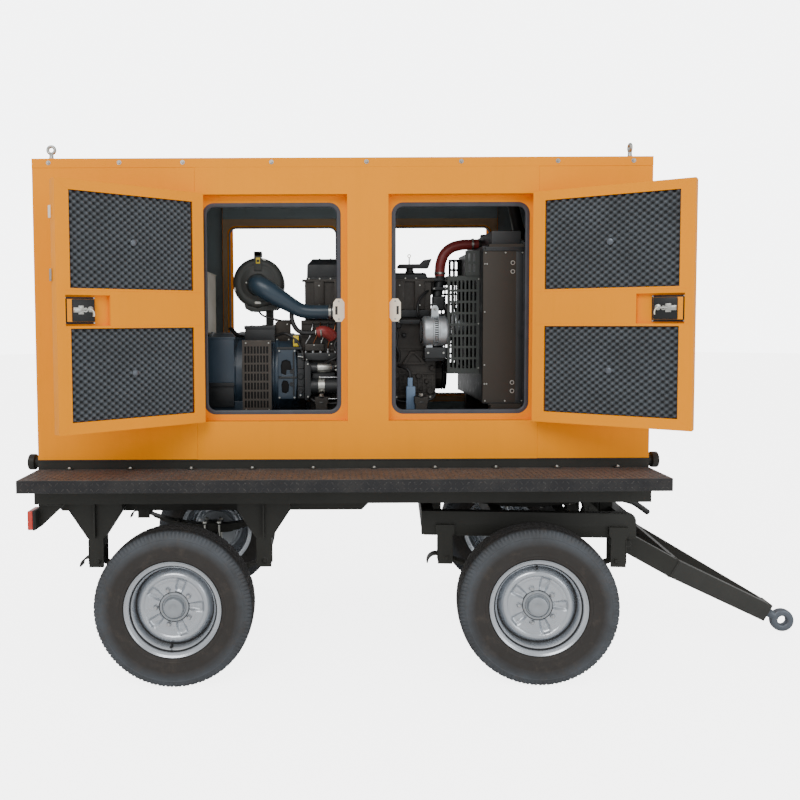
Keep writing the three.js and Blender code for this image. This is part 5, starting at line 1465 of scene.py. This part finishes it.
def engine_near_side():
    """Ribs, covers, lines and filters on the side that shows through the near doorways."""
    face = Piece("engine_castings", "chassis", "iron", slot="cast_iron")
    y = -165
    for z0, z1, d in ((1300, 1318, 14), (1428, 1440, 9), (1556, 1566, 7), (1702, 1722, 12),
                      (1926, 1940, -24)):
        face.use("iron").box((-214, y - d, z0), (494, y + 10 + (d < 0) * 20, z1), 3)
    outer = [(318, 1482), (364, 1552), (392, 1552), (450, 1482)]
    inner = [(340, 1494), (372, 1540), (384, 1540), (426, 1494)]
    face.extrude(outer, "xz", (y - 16, y + 2), [inner], 2.5)
    for x, z, r in ((480, 1462, 15), (452, 1392, 12), (286, 1426, 20), (282, 1346, 13), (408, 1420, 15),
                    (470, 1340, 18), (420, 1352, 9), (300, 1524, 11), (476, 1530, 12)):
        face.turned([(r, 0), (r, 12), (r * 0.8, 16), (r * 0.55, 16), (r * 0.5, 11)], (x, y - 2, z),
                    TO_NEAR, 24)
    for i in range(9):
        x = 280 + i * 25
        face.box((x, y - 7 - 3 * (i % 2), 1322), (x + 7, y + 2, 1424), 2)
    for i in range(6):
        z = 1334 + i * 17
        face.box((292, y - 5, z), (498, y + 2, z + 4), 1.5)
    face.use("engine_black").box((-210, y - 34, 1508), (-20, y - 2, 1548), 5)
    for i in range(5):
        x = -196 + i * 40
        face.use("steel").turned([(9, 0), (9, 10), (6, 12), (6, 22)], (x, y - 20, 1548), UP, 14)
        line = smooth_path([(x, y - 20, 1568), (x + 4, y - 32, 1600), (x + 26, y - 40, 1640 + 8 * (i % 3)),
                            (x + 40, y - 16, 1700), (x + 44, -128, 1760)], 5)
        face.use("copper" if i % 2 else "steel").tube(line, 3.4, 8)
    face.use("iron").box((-198, y - 46, 1560), (-96, y, 1596), 6)
    face.box((-90, y - 60, 1470), (-14, y, 1506), 6)
    for x, z in ((-190, 1512), (-150, 1590), (-70, 1536), (-36, 1516), (-110, 1612), (-58, 1596)):
        face.use("zinc").bolt((x, y - 34 - 12 * (z > 1550), z), TO_NEAR, 8, 6)
    face.use("engine_black").box((-186, -150, 1735), (470, -128, 1775), 6)
    for i in range(6):
        x = -150 + i * 108
        face.use("iron").box((x, -146, 1776), (x + 54, -129, 1930), 5)
        face.use("zinc").bolt((x + 27, -146, 1800), TO_NEAR, 8, 5)
        face.bolt((x + 27, -146, 1906), TO_NEAR, 8, 5)
    for x in range(-190, 480, 60):
        face.use("zinc").bolt((x, y - 14, 1309), TO_NEAR, 10, 5)
    face.done(38)
    parts = Piece("engine_fittings", "chassis", "rubber",
                  slot="engine_black")
    parts.use("yellow").box((-261, -214, 1582), (-231, -192, 1640), 3)
    parts.use("rubber").box((-255, -217, 1600), (-238, -213, 1622), 1)
    parts.use("blue_part").box((336, -246, 1180), (384, -205, 1370), 4)
    parts.box((344, -238, 1368), (370, -212, 1416), 3)
    parts.use("rubber").hose([(357, -226, 1412), (352, -222, 1450), (326, -206, 1470), (300, -180, 1476)],
                             9, 12)
    parts.use("engine_black").turned([(46, 0), (50, 5), (50, 100), (44, 112), (20, 120)],
                                     (150, -222, 1360), DOWN, 36)
    parts.lathe([(0, 0), (36, 0), (40, 4), (40, 88), (34, 98), (0, 104)], (56, -216, 1480), DOWN, 32)
    parts.use("alu").box((14, -250, 1478), (196, -168, 1506), 6)
    looms = [
        [(-356, -160, 1640), (-300, -196, 1650), (-240, -210, 1612), (-214, -214, 1560),
         (-206, -226, 1510)],
        [(-246, -203, 1584), (-240, -206, 1556), (-226, -200, 1536), (-222, -196, 1500)],
        [(-30, -186, 1500), (-24, -214, 1540), (-40, -214, 1590), (-22, -200, 1630)],
        [(-90, -222, 1496), (-60, -246, 1510), (-20, -240, 1530), (20, -200, 1560)],
        [(262, -186, 1700), (290, -196, 1650), (286, -200, 1590), (304, -190, 1536), (300, -180, 1500)],
        [(260, -180, 1320), (300, -196, 1290), (380, -196, 1284), (470, -190, 1296), (504, -170, 1330)],
        [(-196, -214, 1330), (-140, -236, 1290), (-60, -240, 1280), (20, -230, 1290)],
        [(420, -180, 1724), (400, -200, 1760), (408, -176, 1820), (440, -150, 1860), (470, -120, 1880)],
    ]
    for i, points in enumerate(looms):
        parts.use("rubber").hose(points, 6.5 if i % 2 else 8.5, 10, 6)
    for x, z, r in ((300, 1690, 16), (330, 1640, 12), (268, 1610, 14), (470, 1600, 15), (440, 1520, 13)):
        parts.use("plastic").turned([(r, 0), (r, 26), (r * 0.7, 30)], (x, -160, z), TO_NEAR, 18)
    parts.use("engine_black").box((280, -196, 1700), (470, -150, 1722), 5)
    parts.box((262, -188, 1560), (292, -160, 1700), 5)
    parts.box((440, -200, 1500), (545, -150, 1560), 6)
    parts.box((500, -180, 1560), (540, -120, 1640), 6)
    for x, z in ((300, 1711), (440, 1711), (276, 1580), (276, 1680), (460, 1530), (520, 1530)):
        parts.use("zinc").bolt((x, -198, z), TO_NEAR, 8, 5)
    parts.done(38)


def engine_far_side():
    """Exhaust manifold, its runners and the pipe to the silencer."""
    hot = Piece("exhaust_run", "chassis", "iron", slot="cast_iron")
    for i in range(6):
        x = -30 + i * 82
        hot.use("iron").hose([(x, 128, 1800), (x, 170, 1800), (x + 4, 212, 1796), (x + 10, 232, 1790)], 26,
                             18, 4)
        for dz in (-34, 34):
            hot.use("zinc").bolt((x, 216, 1795 + dz), TO_FAR, 9, 6)
    hot.use("iron").tube([(-44, 232, 1790), (180, 236, 1790), (400, 232, 1790)], 34, 24)
    run = smooth_path([(232, 236, 1800), (236, 240, 1880), (236, 228, 2050), (238, 200, 2260),
                       (250, 176, 2370), (300, 150, 2418), (420, 132, 2424), (700, 120, 2424),
                       (900, 120, 2420), (966, 120, 2380), (988, 120, 2300), (1010, 120, 2220),
                       (1062, 120, 2190)], 6)
    hot.use("engine_black").tube(run, 31, 22)
    for x, z in ((640, 2424), (1046, 2190)):
        hot.use("engine_black").ring((x, 120, z), AHEAD, 30, 54, 12, 32)
        hot.use("zinc").bolt_circle((x + 6, 120, z), AHEAD, 43, 4, 45, 8, 6)
    hot.done(40)


def flywheel_housing():
    """The ring at the back of the engine, with two windows, ribs and bosses."""
    bell = Piece("flywheel_housing", "chassis", "gen", slot="cast_iron")
    axis, origin = AHEAD, (-359, 0, SHAFT_Z)
    bell.use("gen").lathe([(214, 0.2), (224, 0.2), (226, 3), (226, 16), (223, 19), (219, 22), (218.5, 60),
                           (221, 64), (221, 92), (216, 98), (212, 150), (205, 158), (180, 158)], origin,
                          axis, 72)
    bell.use("zinc").bolt_circle((-343, 0, SHAFT_Z), AHEAD, 219, 16, 11, 8, 5)
    windows = ([(-324, 1440), (-302, 1432), (-276, 1440), (-269, 1470), (-276, 1504), (-296, 1513),
                (-319, 1507), (-326, 1480)],
               [(-320, 1340), (-300, 1333), (-286, 1346), (-283, 1380), (-292, 1400), (-312, 1403),
                (-322, 1384)])
    plate = [(-341, 1312), (-333, 1304), (-262, 1304), (-246, 1322), (-240, 1400), (-243, 1500),
             (-250, 1569), (-333, 1569), (-341, 1561)]
    bell.use("gen").extrude(plate, "xz", (-228, -212), windows, 3.5, 3)
    # painted shade: a dark sheet behind the two windows
    bell.use("core_and_shade").box((-331, -219, 1330), (-264, -215.5, 1516), 0.5)
    for lo, hi in (((-338, -232, 1414), (-240, -224, 1424)), ((-262, -233, 1320), (-254, -224, 1556)),
                   ((-348, -232, 1566), (-212, -200, 1580)), ((-238, -224, 1306), (-202, -190, 1548)),
                   ((-236, -230, 1372), (-204, -222, 1382)), ((-236, -230, 1466), (-204, -222, 1476))):
        bell.use("engine_black").box(lo, hi, 3.5, 3)
    for x, z, r in ((-266, 1452, 12), (-268, 1384, 11), (-222, 1424, 15), (-222, 1346, 12),
                    (-330, 1420, 8)):
        bell.turned([(r, 0), (r, 9), (r * 0.86, 12), (r * 0.6, 12), (r * 0.54, 8)], (x, -223, z), TO_NEAR,
                    26)
    for x, z in ((-333, 1313), (-333, 1560), (-252, 1560), (-254, 1313), (-222, 1326), (-222, 1530)):
        bell.use("gen").turned([(8.5, 0), (8.5, 6), (7.5, 7)], (x, -226, z), TO_NEAR, 20)
        bell.use("zinc").bolt((x, -233, z), TO_NEAR, 9, 5)
    bell.rod((-236, -238, 1531), (-206, -238, 1527), 3.6, 12)
    bell.done(38)


def starter():
    """Starter with its solenoid, through bolts, terminals and cable."""
    unit = Piece("starter_unit", "chassis", "engine_black", slot="engine_black",
                 replaces=("starter_motor",))
    unit.use("engine_black").turned([(38, 0), (43, 3), (43, 70), (41, 72)], (-199, -218, 1372), AHEAD, 44)
    unit.use("zinc").lathe([(41, 0), (43.6, 1), (43.6, 34), (41, 35), (20, 35), (20, 0)],
                           (-128, -218, 1372), AHEAD, 44)
    body_outline = [(42, 0), (42, 74), (43.4, 76), (43.4, 90), (40, 96), (14, 98), (12, 106)]
    unit.use("engine_black").turned(body_outline, (-94, -218, 1372), AHEAD, 44)
    for dz in (48, -66):
        unit.use("steel").rod((-118, -238, 1372 + dz), (6, -238, 1372 + dz), 3.4, 12)
        unit.use("zinc").bolt((-118, -238, 1372 + dz), ASTERN, 10, 6)
    unit.use("engine_black").turned([(26, 0), (28, 3), (28, 68)], (-199, -222, 1469), AHEAD, 36)
    unit.use("zinc").turned([(26.5, 0), (27, 2), (27, 68), (24, 74), (20, 76)], (-131, -222, 1469),
                            AHEAD, 36)
    unit.use("rubber").turned([(22, 0), (22, 10), (18, 14)], (-56, -222, 1469), AHEAD, 28)
    for dy, dz in ((-10, 8), (8, 10), (0, -12)):
        unit.use("zinc").rod((-42, -222 + dy, 1469 + dz), (-26, -222 + dy, 1469 + dz), 4, 12)
        unit.turned([(7, 0), (7, 5)], (-36, -222 + dy, 1469 + dz), AHEAD, 6)
    bracket = [(-199, 1300), (-182, 1300), (-166, 1330), (-166, 1480), (-178, 1506), (-199, 1506)]
    unit.use("engine_black").extrude(bracket, "xz", (-262, -178), round_mm=5)
    unit.box((-160, -222, 1406), (-40, -206, 1446), 4)
    unit.use("rubber").hose([(-28, -232, 1478), (-14, -246, 1470), (-4, -250, 1440), (-8, -240, 1400),
                             (-4, -232, 1340), (30, -226, 1300)], 8, 12, 6)
    for x, z in ((-182, 1492), (-182, 1320)):
        unit.use("zinc").bolt((x, -262, z), TO_NEAR, 9, 6)
    unit.done(38)


def alternator():
    """The charging alternator, its mounting and its pulley."""
    unit = Piece("alternator_unit", "chassis", "alu", slot="bare_aluminium",
                 replaces=("charging_alternator",))
    c = (410, -262, 1662)
    case = [(52, 0), (66, 5), (76, 14), (78.5, 22), (78.5, 56), (80.5, 58), (80.5, 64), (78, 66), (74, 66),
            (74, 84), (78, 84), (80.5, 86), (80.5, 92), (78.5, 94), (78.5, 122), (72, 134), (58, 141),
            (20, 143)]
    unit.use("alu").turned(case, c, AHEAD, 64)
    # painted shade: a dark band behind the fins
    unit.use("core_and_shade").ring((410 + 75, -262, 1662), AHEAD, 70, 76.2, 16, 64, 0.5)
    for i in range(40):
        a = math.radians(9 * i)
        y, z = -262 + 76.4 * math.cos(a), 1662 + 76.4 * math.sin(a)
        unit.use("alu").box((476.5, y - 1.6, z - 3.2), (493.5, y + 1.6, z + 3.2), 0.5,
                            turn=Matrix.Rotation(a, 3, "X"), pivot=(485, y, z))
    # painted shade: the air slots are dark boxes
    for i in range(18):
        a = math.radians(20 * i + 6)
        y, z = -262 + 60 * math.cos(a), 1662 + 60 * math.sin(a)
        unit.use("core_and_shade").box((409, y - 3, z - 9), (416, y + 3, z + 9), 1, turn=Matrix.Rotation(a, 3, "X"),
                             pivot=(412, y, z))
    ear = [(462, 1728), (504, 1728), (500, 1780), (492, 1796), (472, 1796), (464, 1780)]
    unit.use("alu").extrude(ear, "xz", (-280, -254), round_mm=4)
    unit.use("zinc").bolt((482, -280, 1776), TO_NEAR, 12, 7, stud=6)
    unit.use("alu").box((436, -286, 1570), (470, -240, 1592), 4)
    unit.use("engine_black").box((427, -290, 1520), (546, -196, 1578), 8)
    unit.box((420, -200, 1640), (500, -160, 1690), 6)
    unit.box((470, -262, 1796), (492, -160, 1806), 3)
    for x in (445, 525):
        unit.use("zinc").bolt((x, -290, 1549), TO_NEAR, 11, 6)
    unit.use("steel").turned([(33, 0), (35, 2), (35, 5), (28, 8), (35, 11), (35, 14), (33, 16)],
                             (553, -262, 1662), AHEAD, 40)
    unit.use("zinc").lathe([(0, 0), (12, 0), (12, 8), (0, 9)], (569, -262, 1662), AHEAD, 6)
    unit.done(36)


def belt_drive():
    """Two pulleys and the belt that goes round them and the alternator's."""
    drive = Piece("belt_drive", "chassis", "engine_black", slot="engine_black")
    for (y, z), r in (((0, SHAFT_Z), 96), ((0, FAN_Z), 62)):
        pulley = [(r - 4, 0), (r, 3), (r, 7), (r - 8, 12), (r, 17), (r, 21), (r - 4, 24), (r * 0.5, 24),
                  (r * 0.46, 18)]
        drive.use("engine_black").turned(pulley, (549, y, z), AHEAD, 56)
        drive.use("zinc").bolt((567, y, z), AHEAD, 17, 8)
    tangent = [(0, SHAFT_Z, 92), (0, FAN_Z, 58), (-262, 1662, 33)]
    loop = []
    centres = [Vector((y, z)) for y, z, _ in tangent]
    middle = sum(centres, Vector((0, 0))) / 3
    for k, (y, z, r) in enumerate(tangent):
        a = centres[k] - centres[k - 1]
        b = centres[(k + 1) % 3] - centres[k]
        for d in (a, b):
            n = Vector((d.y, -d.x)).normalized()
            if n.dot(centres[k] - middle) < 0:
                n = -n
            loop.append((y + n.x * r, z + n.y * r))
        mid = ((Vector(loop[-1]) - centres[k]) + (Vector(loop[-2]) - centres[k])).normalized() * r
        loop.insert(len(loop) - 1, (y + mid.x, z + mid.y))
    path = []
    for k in range(len(loop)):
        a, b = Vector(loop[k]), Vector(loop[(k + 1) % len(loop)])
        path += [a.lerp(b, t / 3) for t in range(3)]
    drive.use("rubber").sweep([(561, p.x, p.y) for p in path], [(-3.5, -6), (3.5, -6), (3.5, 6), (-3.5, 6)],
                              up=AHEAD, closed=True)
    drive.done(36)


def generator_details():
    """Vent plates, feet, frame rings, cooling fins and terminal box."""
    part = Piece("alternator_frame", "chassis", "gen", slot="generator_black")
    us = cells(-526, -515, 8, 16.4, 10.8, -373.5)
    vs = cells(1243, 1262, 7, 47.5, 38, 1614)
    for side in BOTH:
        y = side * 252
        part.use("vent").slotted(us, vs, "xz", sorted((y + side * 0.5, y + side * 3.5)))
        # painted shade: a dark sheet behind the vent slots
        part.use("core_and_shade").box((-520, y, 1252), (-380, y + side * 0.8, 1604), 0.2)
        for x in (-507, -387):
            for z in (1603, 1252):
                part.use("zinc").bolt((x, y + side * 3.5, z), (0, side, 0), 9, 5)
        part.use("vent").box((-527, y - side * 4, 1612), (-372.5, y + side * 3.6, 1617), 1)
        part.box((-527, y - side * 4, 1240), (-372.5, y + side * 3.6, 1245), 1)
        part.use("gen").box((-722, side * 208, 1392), (-572, side * 226, 1628), 5)
        part.box((-726, side * 204, 1622), (-566, side * 229, 1634), 3)
        part.use("engine_black").box((-716, side * 190, 1262), (-576, side * 218, 1386), 5)
        part.box((-716, side * 214, 1372), (-572, side * 230, 1392), 3)
    for x0, x1, r in ((-566, -528, 230), (-372, -360, 229), (-726, -706, 229)):
        part.use("gen").ring(((x0 + x1) / 2, 0, 1430), AHEAD, r - 12, r, x1 - x0, 72, 3)
    for i in range(24):
        a = math.radians(15 * i + 4)
        part.use("gen").box((-560, 226 * math.cos(a) - 3, SHAFT_Z + 226 * math.sin(a) - 4),
                            (-372, 226 * math.cos(a) + 3, SHAFT_Z + 226 * math.sin(a) + 4), 1.5,
                            turn=Matrix.Rotation(a, 3, "X"))
    part.use("engine_black").box((-522, -153, 1604), (-360.5, 153, 1676), 4)
    part.box((-526, -157, 1674), (-358, 157, 1692.5), 3)
    for x in (-514, -370):
        for y in (-148, 148):
            part.use("zinc").bolt((x, y, 1692), UP, 8, 3, n=16)
    for i in range(2):
        x = -545 + i * 10
        part.use("core_and_shade").hose([(x, -150 + 20 * i, 1636), (x - 18, -170, 1640), (x - 34, -176, 1658),
                               (x - 60, -150, 1680)], 7, 10)
    part.use("gen").turned([(150, 0), (186, 8), (190, 14), (190, 26)], (-1010, 0, SHAFT_Z), ASTERN, 56)
    part.use("zinc").bolt_circle((-1028, 0, SHAFT_Z), ASTERN, 172, 8, 0, 9, 6)
    part.done(38)


def cooling():
    """Hose, thermostat elbow, radiator side plates, tank details and filler."""
    hose = Piece("top_hose", "chassis", "hose", slot="hose_red", replaces=("coolant_hose",))
    path = smooth_path([(536, -60, 1958), (536, -60, 1985), (541, -60, 2030), (560, -60, 2078),
                        (598, -60, 2112), (650, -60, 2127), (700, -60, 2130), (744, -60, 2130)], 7)
    hose.use("hose").tube(path, 28.5, 30)
    hose_clamp(hose, (536, -60, 1974), UP, 28.8, 12, (-0.6, -0.8, 0))
    hose_clamp(hose, (712, -60, 2130), AHEAD, 28.8, 12, (0, -0.8, 0.6))
    hose.done(40)
    elbow = Piece("thermostat_elbow", "chassis", "engine_black", slot="engine_black")
    elbow.use("engine_black").hose([(536, -60, 1966), (535, -60, 1930), (528, -62, 1890), (520, -66, 1840),
                                    (516, -70, 1780)], 27, 24, 6)
    elbow.box((488, -100, 1880), (574, -24, 1898), 6)
    elbow.box((492, -104, 1770), (560, -40, 1850), 12, 3)
    elbow.box((486, -96, 1930), (560, -40, 1946), 5)
    for x, z in ((500, 1889), (562, 1889)):
        elbow.use("zinc").bolt((x, -100, z), TO_NEAR, 9, 6)
    elbow.use("rubber").hose([(556, -96, 1800), (575, -104, 1760), (580, -110, 1700), (560, -120, 1600)],
                             13, 14, 6)
    elbow.done(40)
    sides = Piece("radiator_frames", "chassis", "radiator", slot="radiator_black")
    for side in BOTH:
        y = side * 400
        sides.use("radiator").box((708, y + side * 0.4, 1298), (874, y + side * 4.4, 2068), 1.5)
        # painted shade: the side plate is dark from x 874 to 920, where the door jamb's shadow falls
        sides.use("engine_black").box((874, y + side * 0.4, 1298), (912, y + side * 2.4, 2068), 0.8)
        sides.box((911, y + side * 0.4, 1298), (920, y + side * 4.4, 2068), 1.5)
        sides.box((708, y - side * 18, 2062), (920, y + side * 4.4, 2072), 1.5)
        sides.box((708, y - side * 18, 1296), (920, y + side * 4.4, 1302), 1.5)
        for x, z in ((857, 2006), (857, 1962), (857, 1402), (857, 1359)):
            sides.use("zinc").ring((x, y + side * 5.6, z), TO_FAR, 7, 11.5, 2.4, 28, 0.5)
            sides.use("iron").bolt((x, y + side * 4.4, z), (0, side, 0), 10, 5)
        for x, z in ((720, 2056), (820, 2056), (905, 2056), (719, 1309), (820, 1309), (905, 1309),
                     (716, 2000), (716, 1759), (716, 1491), (716, 1395), (727, 2000), (727, 1395)):
            sides.use("zinc").bolt((x, y + side * 4.4, z), (0, side, 0), 8, 4.5)
            sides.rod((x, y + side * 8, z), (x, y + side * 12, z), 2.2, 10)
        sides.use("engine_black").box((720, side * 372, 2068), (918, side * 402, 2086), 2)
    for x in (741, 915):
        for i in range(44):
            z = 1310 + i * 17.2
            sides.use("core_and_shade").box((x - 3.5, -386, z), (x + 3.5, 386, z + 9), 1)
    sides.use("engine_black").box((756, -374, 2087.5), (904, 374, 2168.5), 3)
    sides.box((748, -376, 2087.5), (912, 376, 2096), 2)
    for y in range(-350, 351, 70):
        sides.use("iron").bolt((752, y, 2096), UP, 6, 4)
        sides.bolt((908, y, 2096), UP, 6, 4)
    sides.use("engine_black").turned([(30, 0), (30, 16), (36, 18), (37, 30), (33, 36), (12, 38)],
                                     (830, 150, 2168), UP, 36)
    sides.use("core_and_shade").hose([(742, -60, 2131), (790, -70, 2150), (850, -110, 2176), (915, -130, 2180)], 17,
                           18)
    sides.done(38)


def guard():
    """Slotted sheets round the fan, over the shroud."""
    part = Piece("fan_guard_sheets", "chassis", "guard", slot="guard_black",
                 replaces=("fan_guard",))
    us = cells(545, 558, 7, 20.6, 11.5, 713)
    vs = cells(1441, 1468, 8, 58.4, 47, 1947)
    upper_u = [637, 650, 661, 675, 686, 713]
    upper_v = [1944, 1966, 2008, 2020, 2062, 2076]
    for side in BOTH:
        ys = sorted((side * 300, side * 303))
        part.use("guard").slotted(us, vs, "xz", ys)
        part.slotted(upper_u, upper_v, "xz", ys)
        part.box((543, side * 290, 1441), (546.5, side * 303, 1947), 1)
        part.box((635.5, side * 290, 1944), (638.5, side * 303, 2076), 1)
    side_v = cells(-300, -284, 14, 41, 29, 300)
    for z in (1441, 1944):
        part.slotted(us, side_v, "xy", (z, z + 3))
    ring_holes = [circle(0, FAN_Z, 247, 64)]
    part.use("engine_black").extrude(round_rect(-385, 385, 1300, 2094, 14, 4), "yz", (708, 713), ring_holes,
                                     1.0)
    for y0, y1, z0, z1 in ((-385, 385, 1300, 1304), (-385, 385, 2090, 2094), (-385, -381, 1300, 2094),
                           (381, 385, 1300, 2094)):
        part.box((708, y0, z0), (737.6, y1, z1), 1)
    part.ring((700, 0, FAN_Z), AHEAD, 244, 250, 34, 72, 1.5)
    for side in BOTH:
        for z in (1470, 1700, 1930):
            part.use("zinc").bolt((704, side * 303, z), (0, side, 0), 8, 4)
    part.done(30)


def fan():
    """Seven cambered blades on a hub."""
    part = Piece("cooling_fan", "engine_fan", "plastic", TRAILER @ Matrix.Translation((650, 0, FAN_Z)),
                 "fan_plastic", ("engine_fan",))
    boss = [(0, -34), (60, -34), (70, -28), (72, -20), (72, 14), (66, 22), (40, 25), (0, 26)]
    part.use("alu").lathe(boss, (0, 0, 0), AHEAD, 48)
    part.use("zinc").bolt_circle((24, 0, 0), AHEAD, 48, 6, 0, 8, 4)
    for i in range(7):
        turn = Matrix.Rotation(2 * math.pi * i / 7, 3, "X")
        rows, half = 9, 12
        verts = []
        for k in range(rows):
            t = k / (rows - 1)
            r = 66 + (234 - 66) * t
            pitch_angle = math.radians(44 - 18 * t)
            chord = 74 + 26 * math.sin(math.pi * min(1, t * 0.8 + 0.1))
            lean = 0.10 * t
            ring_points = []
            for side in (1, -1):
                for j in range(half):
                    u = (j / (half - 1) - 0.5) * side
                    camber = 7 * (1 - 4 * u * u)
                    thick = 2.4 * (1 - (2 * u) ** 4) + 0.7
                    ring_points.append((u * chord, camber + side * thick))
            for u, v in ring_points:
                x = u * math.sin(pitch_angle) + v * math.cos(pitch_angle)
                s = u * math.cos(pitch_angle) - v * math.sin(pitch_angle)
                a = s / r + lean
                verts.append(turn @ Vector((max(-33, min(25, x * 0.55)), r * math.sin(a), r * math.cos(a))))
        part.use("plastic").solid(verts, skin(rows, 2 * half, closed=False))
    part.done(40)


def bay_equipment():
    """Fittings of the cabinet, tank, battery, engine mounts and silencer."""
    box = Piece("cabinet_fittings", "chassis", "cabinet", slot="cabinet_cream")
    for side in BOTH:
        y = side * 260
        box.use("cabinet").box((-1148, y + side * 0.3, 1652), (-747, y + side * 3.2, 1973), 2)
        for z in (1700, 1925):
            box.use("zinc").rod((-1150, y + side * 3, z - 20), (-1150, y + side * 3, z + 20), 4.5, 14)
        box.use("plastic").lathe([(0, 0), (12, 0), (13, 2), (13, 5), (10, 8), (0, 8.6)],
                                 (-766, y + side * 3, 1812), (0, side, 0), 28)
        # painted shade: the vent slots are thin dark strips
        for i in range(7):
            box.use("core_and_shade").box((-1090 + i * 14, y + side * 2.6, 1690),
                                (-1084 + i * 14, y + side * 3.6, 1750), 0.4)
    box.use("cabinet").box((-1164, -264, 1982), (-731, 264, 1988), 1.5)
    for y in (-180, -60, 60, 180):
        box.use("plastic").turned([(24, 0), (26, 3), (26, 16), (20, 20), (16, 34)], (-900, y, 1640),
                                  DOWN, 22)
    for y in (-246, 246):
        box.use("plastic").box((-1140, y - 14, 1440), (-1112, y + 14, 1640), 3)
        box.box((-780, y - 14, 1440), (-752, y + 14, 1640), 3)
    box.done(38)
    tank = Piece("tank_and_battery_fittings", "chassis", "plastic",
                 slot="tank_plastic")
    tank.use("plastic").lathe([(0, 0), (42, 0), (44, 4), (44, 20), (52, 24), (53, 44), (48, 50), (0, 52)],
                              (-1240, -200, 1438), UP, 40)
    for x in (-1360, -1120):
        tank.use("engine_black").box((x - 18, -382, 1001), (x + 18, -379.4, 1400), 1)
        tank.box((x - 18, 379.4, 1001), (x + 18, 382, 1400), 1)
        tank.box((x - 18, -345, 1440.4), (x + 18, 345, 1443), 1)
    tank.use("engine_black").box((-66, 312, 1000.8), (276, 443, 1018), 2)
    tank.box((-64, 330, 1188), (-40, 425, 1196), 1.5)
    tank.box((250, 330, 1188), (274, 425, 1196), 1.5)
    for x, mat in ((0, "hose"), (210, "rubber")):
        tank.use("zinc").turned([(15, 0), (15, 12), (12, 16)], (x, 378, 1192), UP, 18)
        run = [(x, 378, 1212), (x - 8, 376, 1238), (x - 40, 350, 1250), (x - 90, 300, 1236),
               (x - 120, 262, 1200), (x - 128, 236, 1140)]
        tank.use(mat).tube(smooth_path(run, 5), 8, 12)
    for side in BOTH:
        for x in (-110, 410):
            tank.use("rubber").turned([(34, 0), (30, 8), (30, 24), (34, 32)], (x, side * 270, 1290), UP, 28)
            tank.use("zinc").bolt((x, side * 270, 1322), UP, 20, 12, washer=True)
    tank.done(38)
    straps = Piece("silencer_straps", "chassis", "zinc", slot="silencer_black")
    for y in (-230, 0, 230):
        straps.use("zinc").ring((1230, y, 2190), TO_FAR, 110.3, 113, 30, 64, 0.8)
        straps.use("engine_black").box((1222, y - 15, 2300), (1238, y + 15, 2466), 2)
    for side in BOTH:
        straps.use("engine_black").ring((1230, side * 324, 2190), TO_FAR, 96, 111.5, 14, 56, 2)
    straps.done(38)


# ------------------------------------------------------------------ everything
build_camera()
build_studio()
build_canopy()
build_doors()
build_deck()
build_wheels()
build_running_gear()
build_chassis()
build_bogie()
build_drawbar()
build_engine_bay()
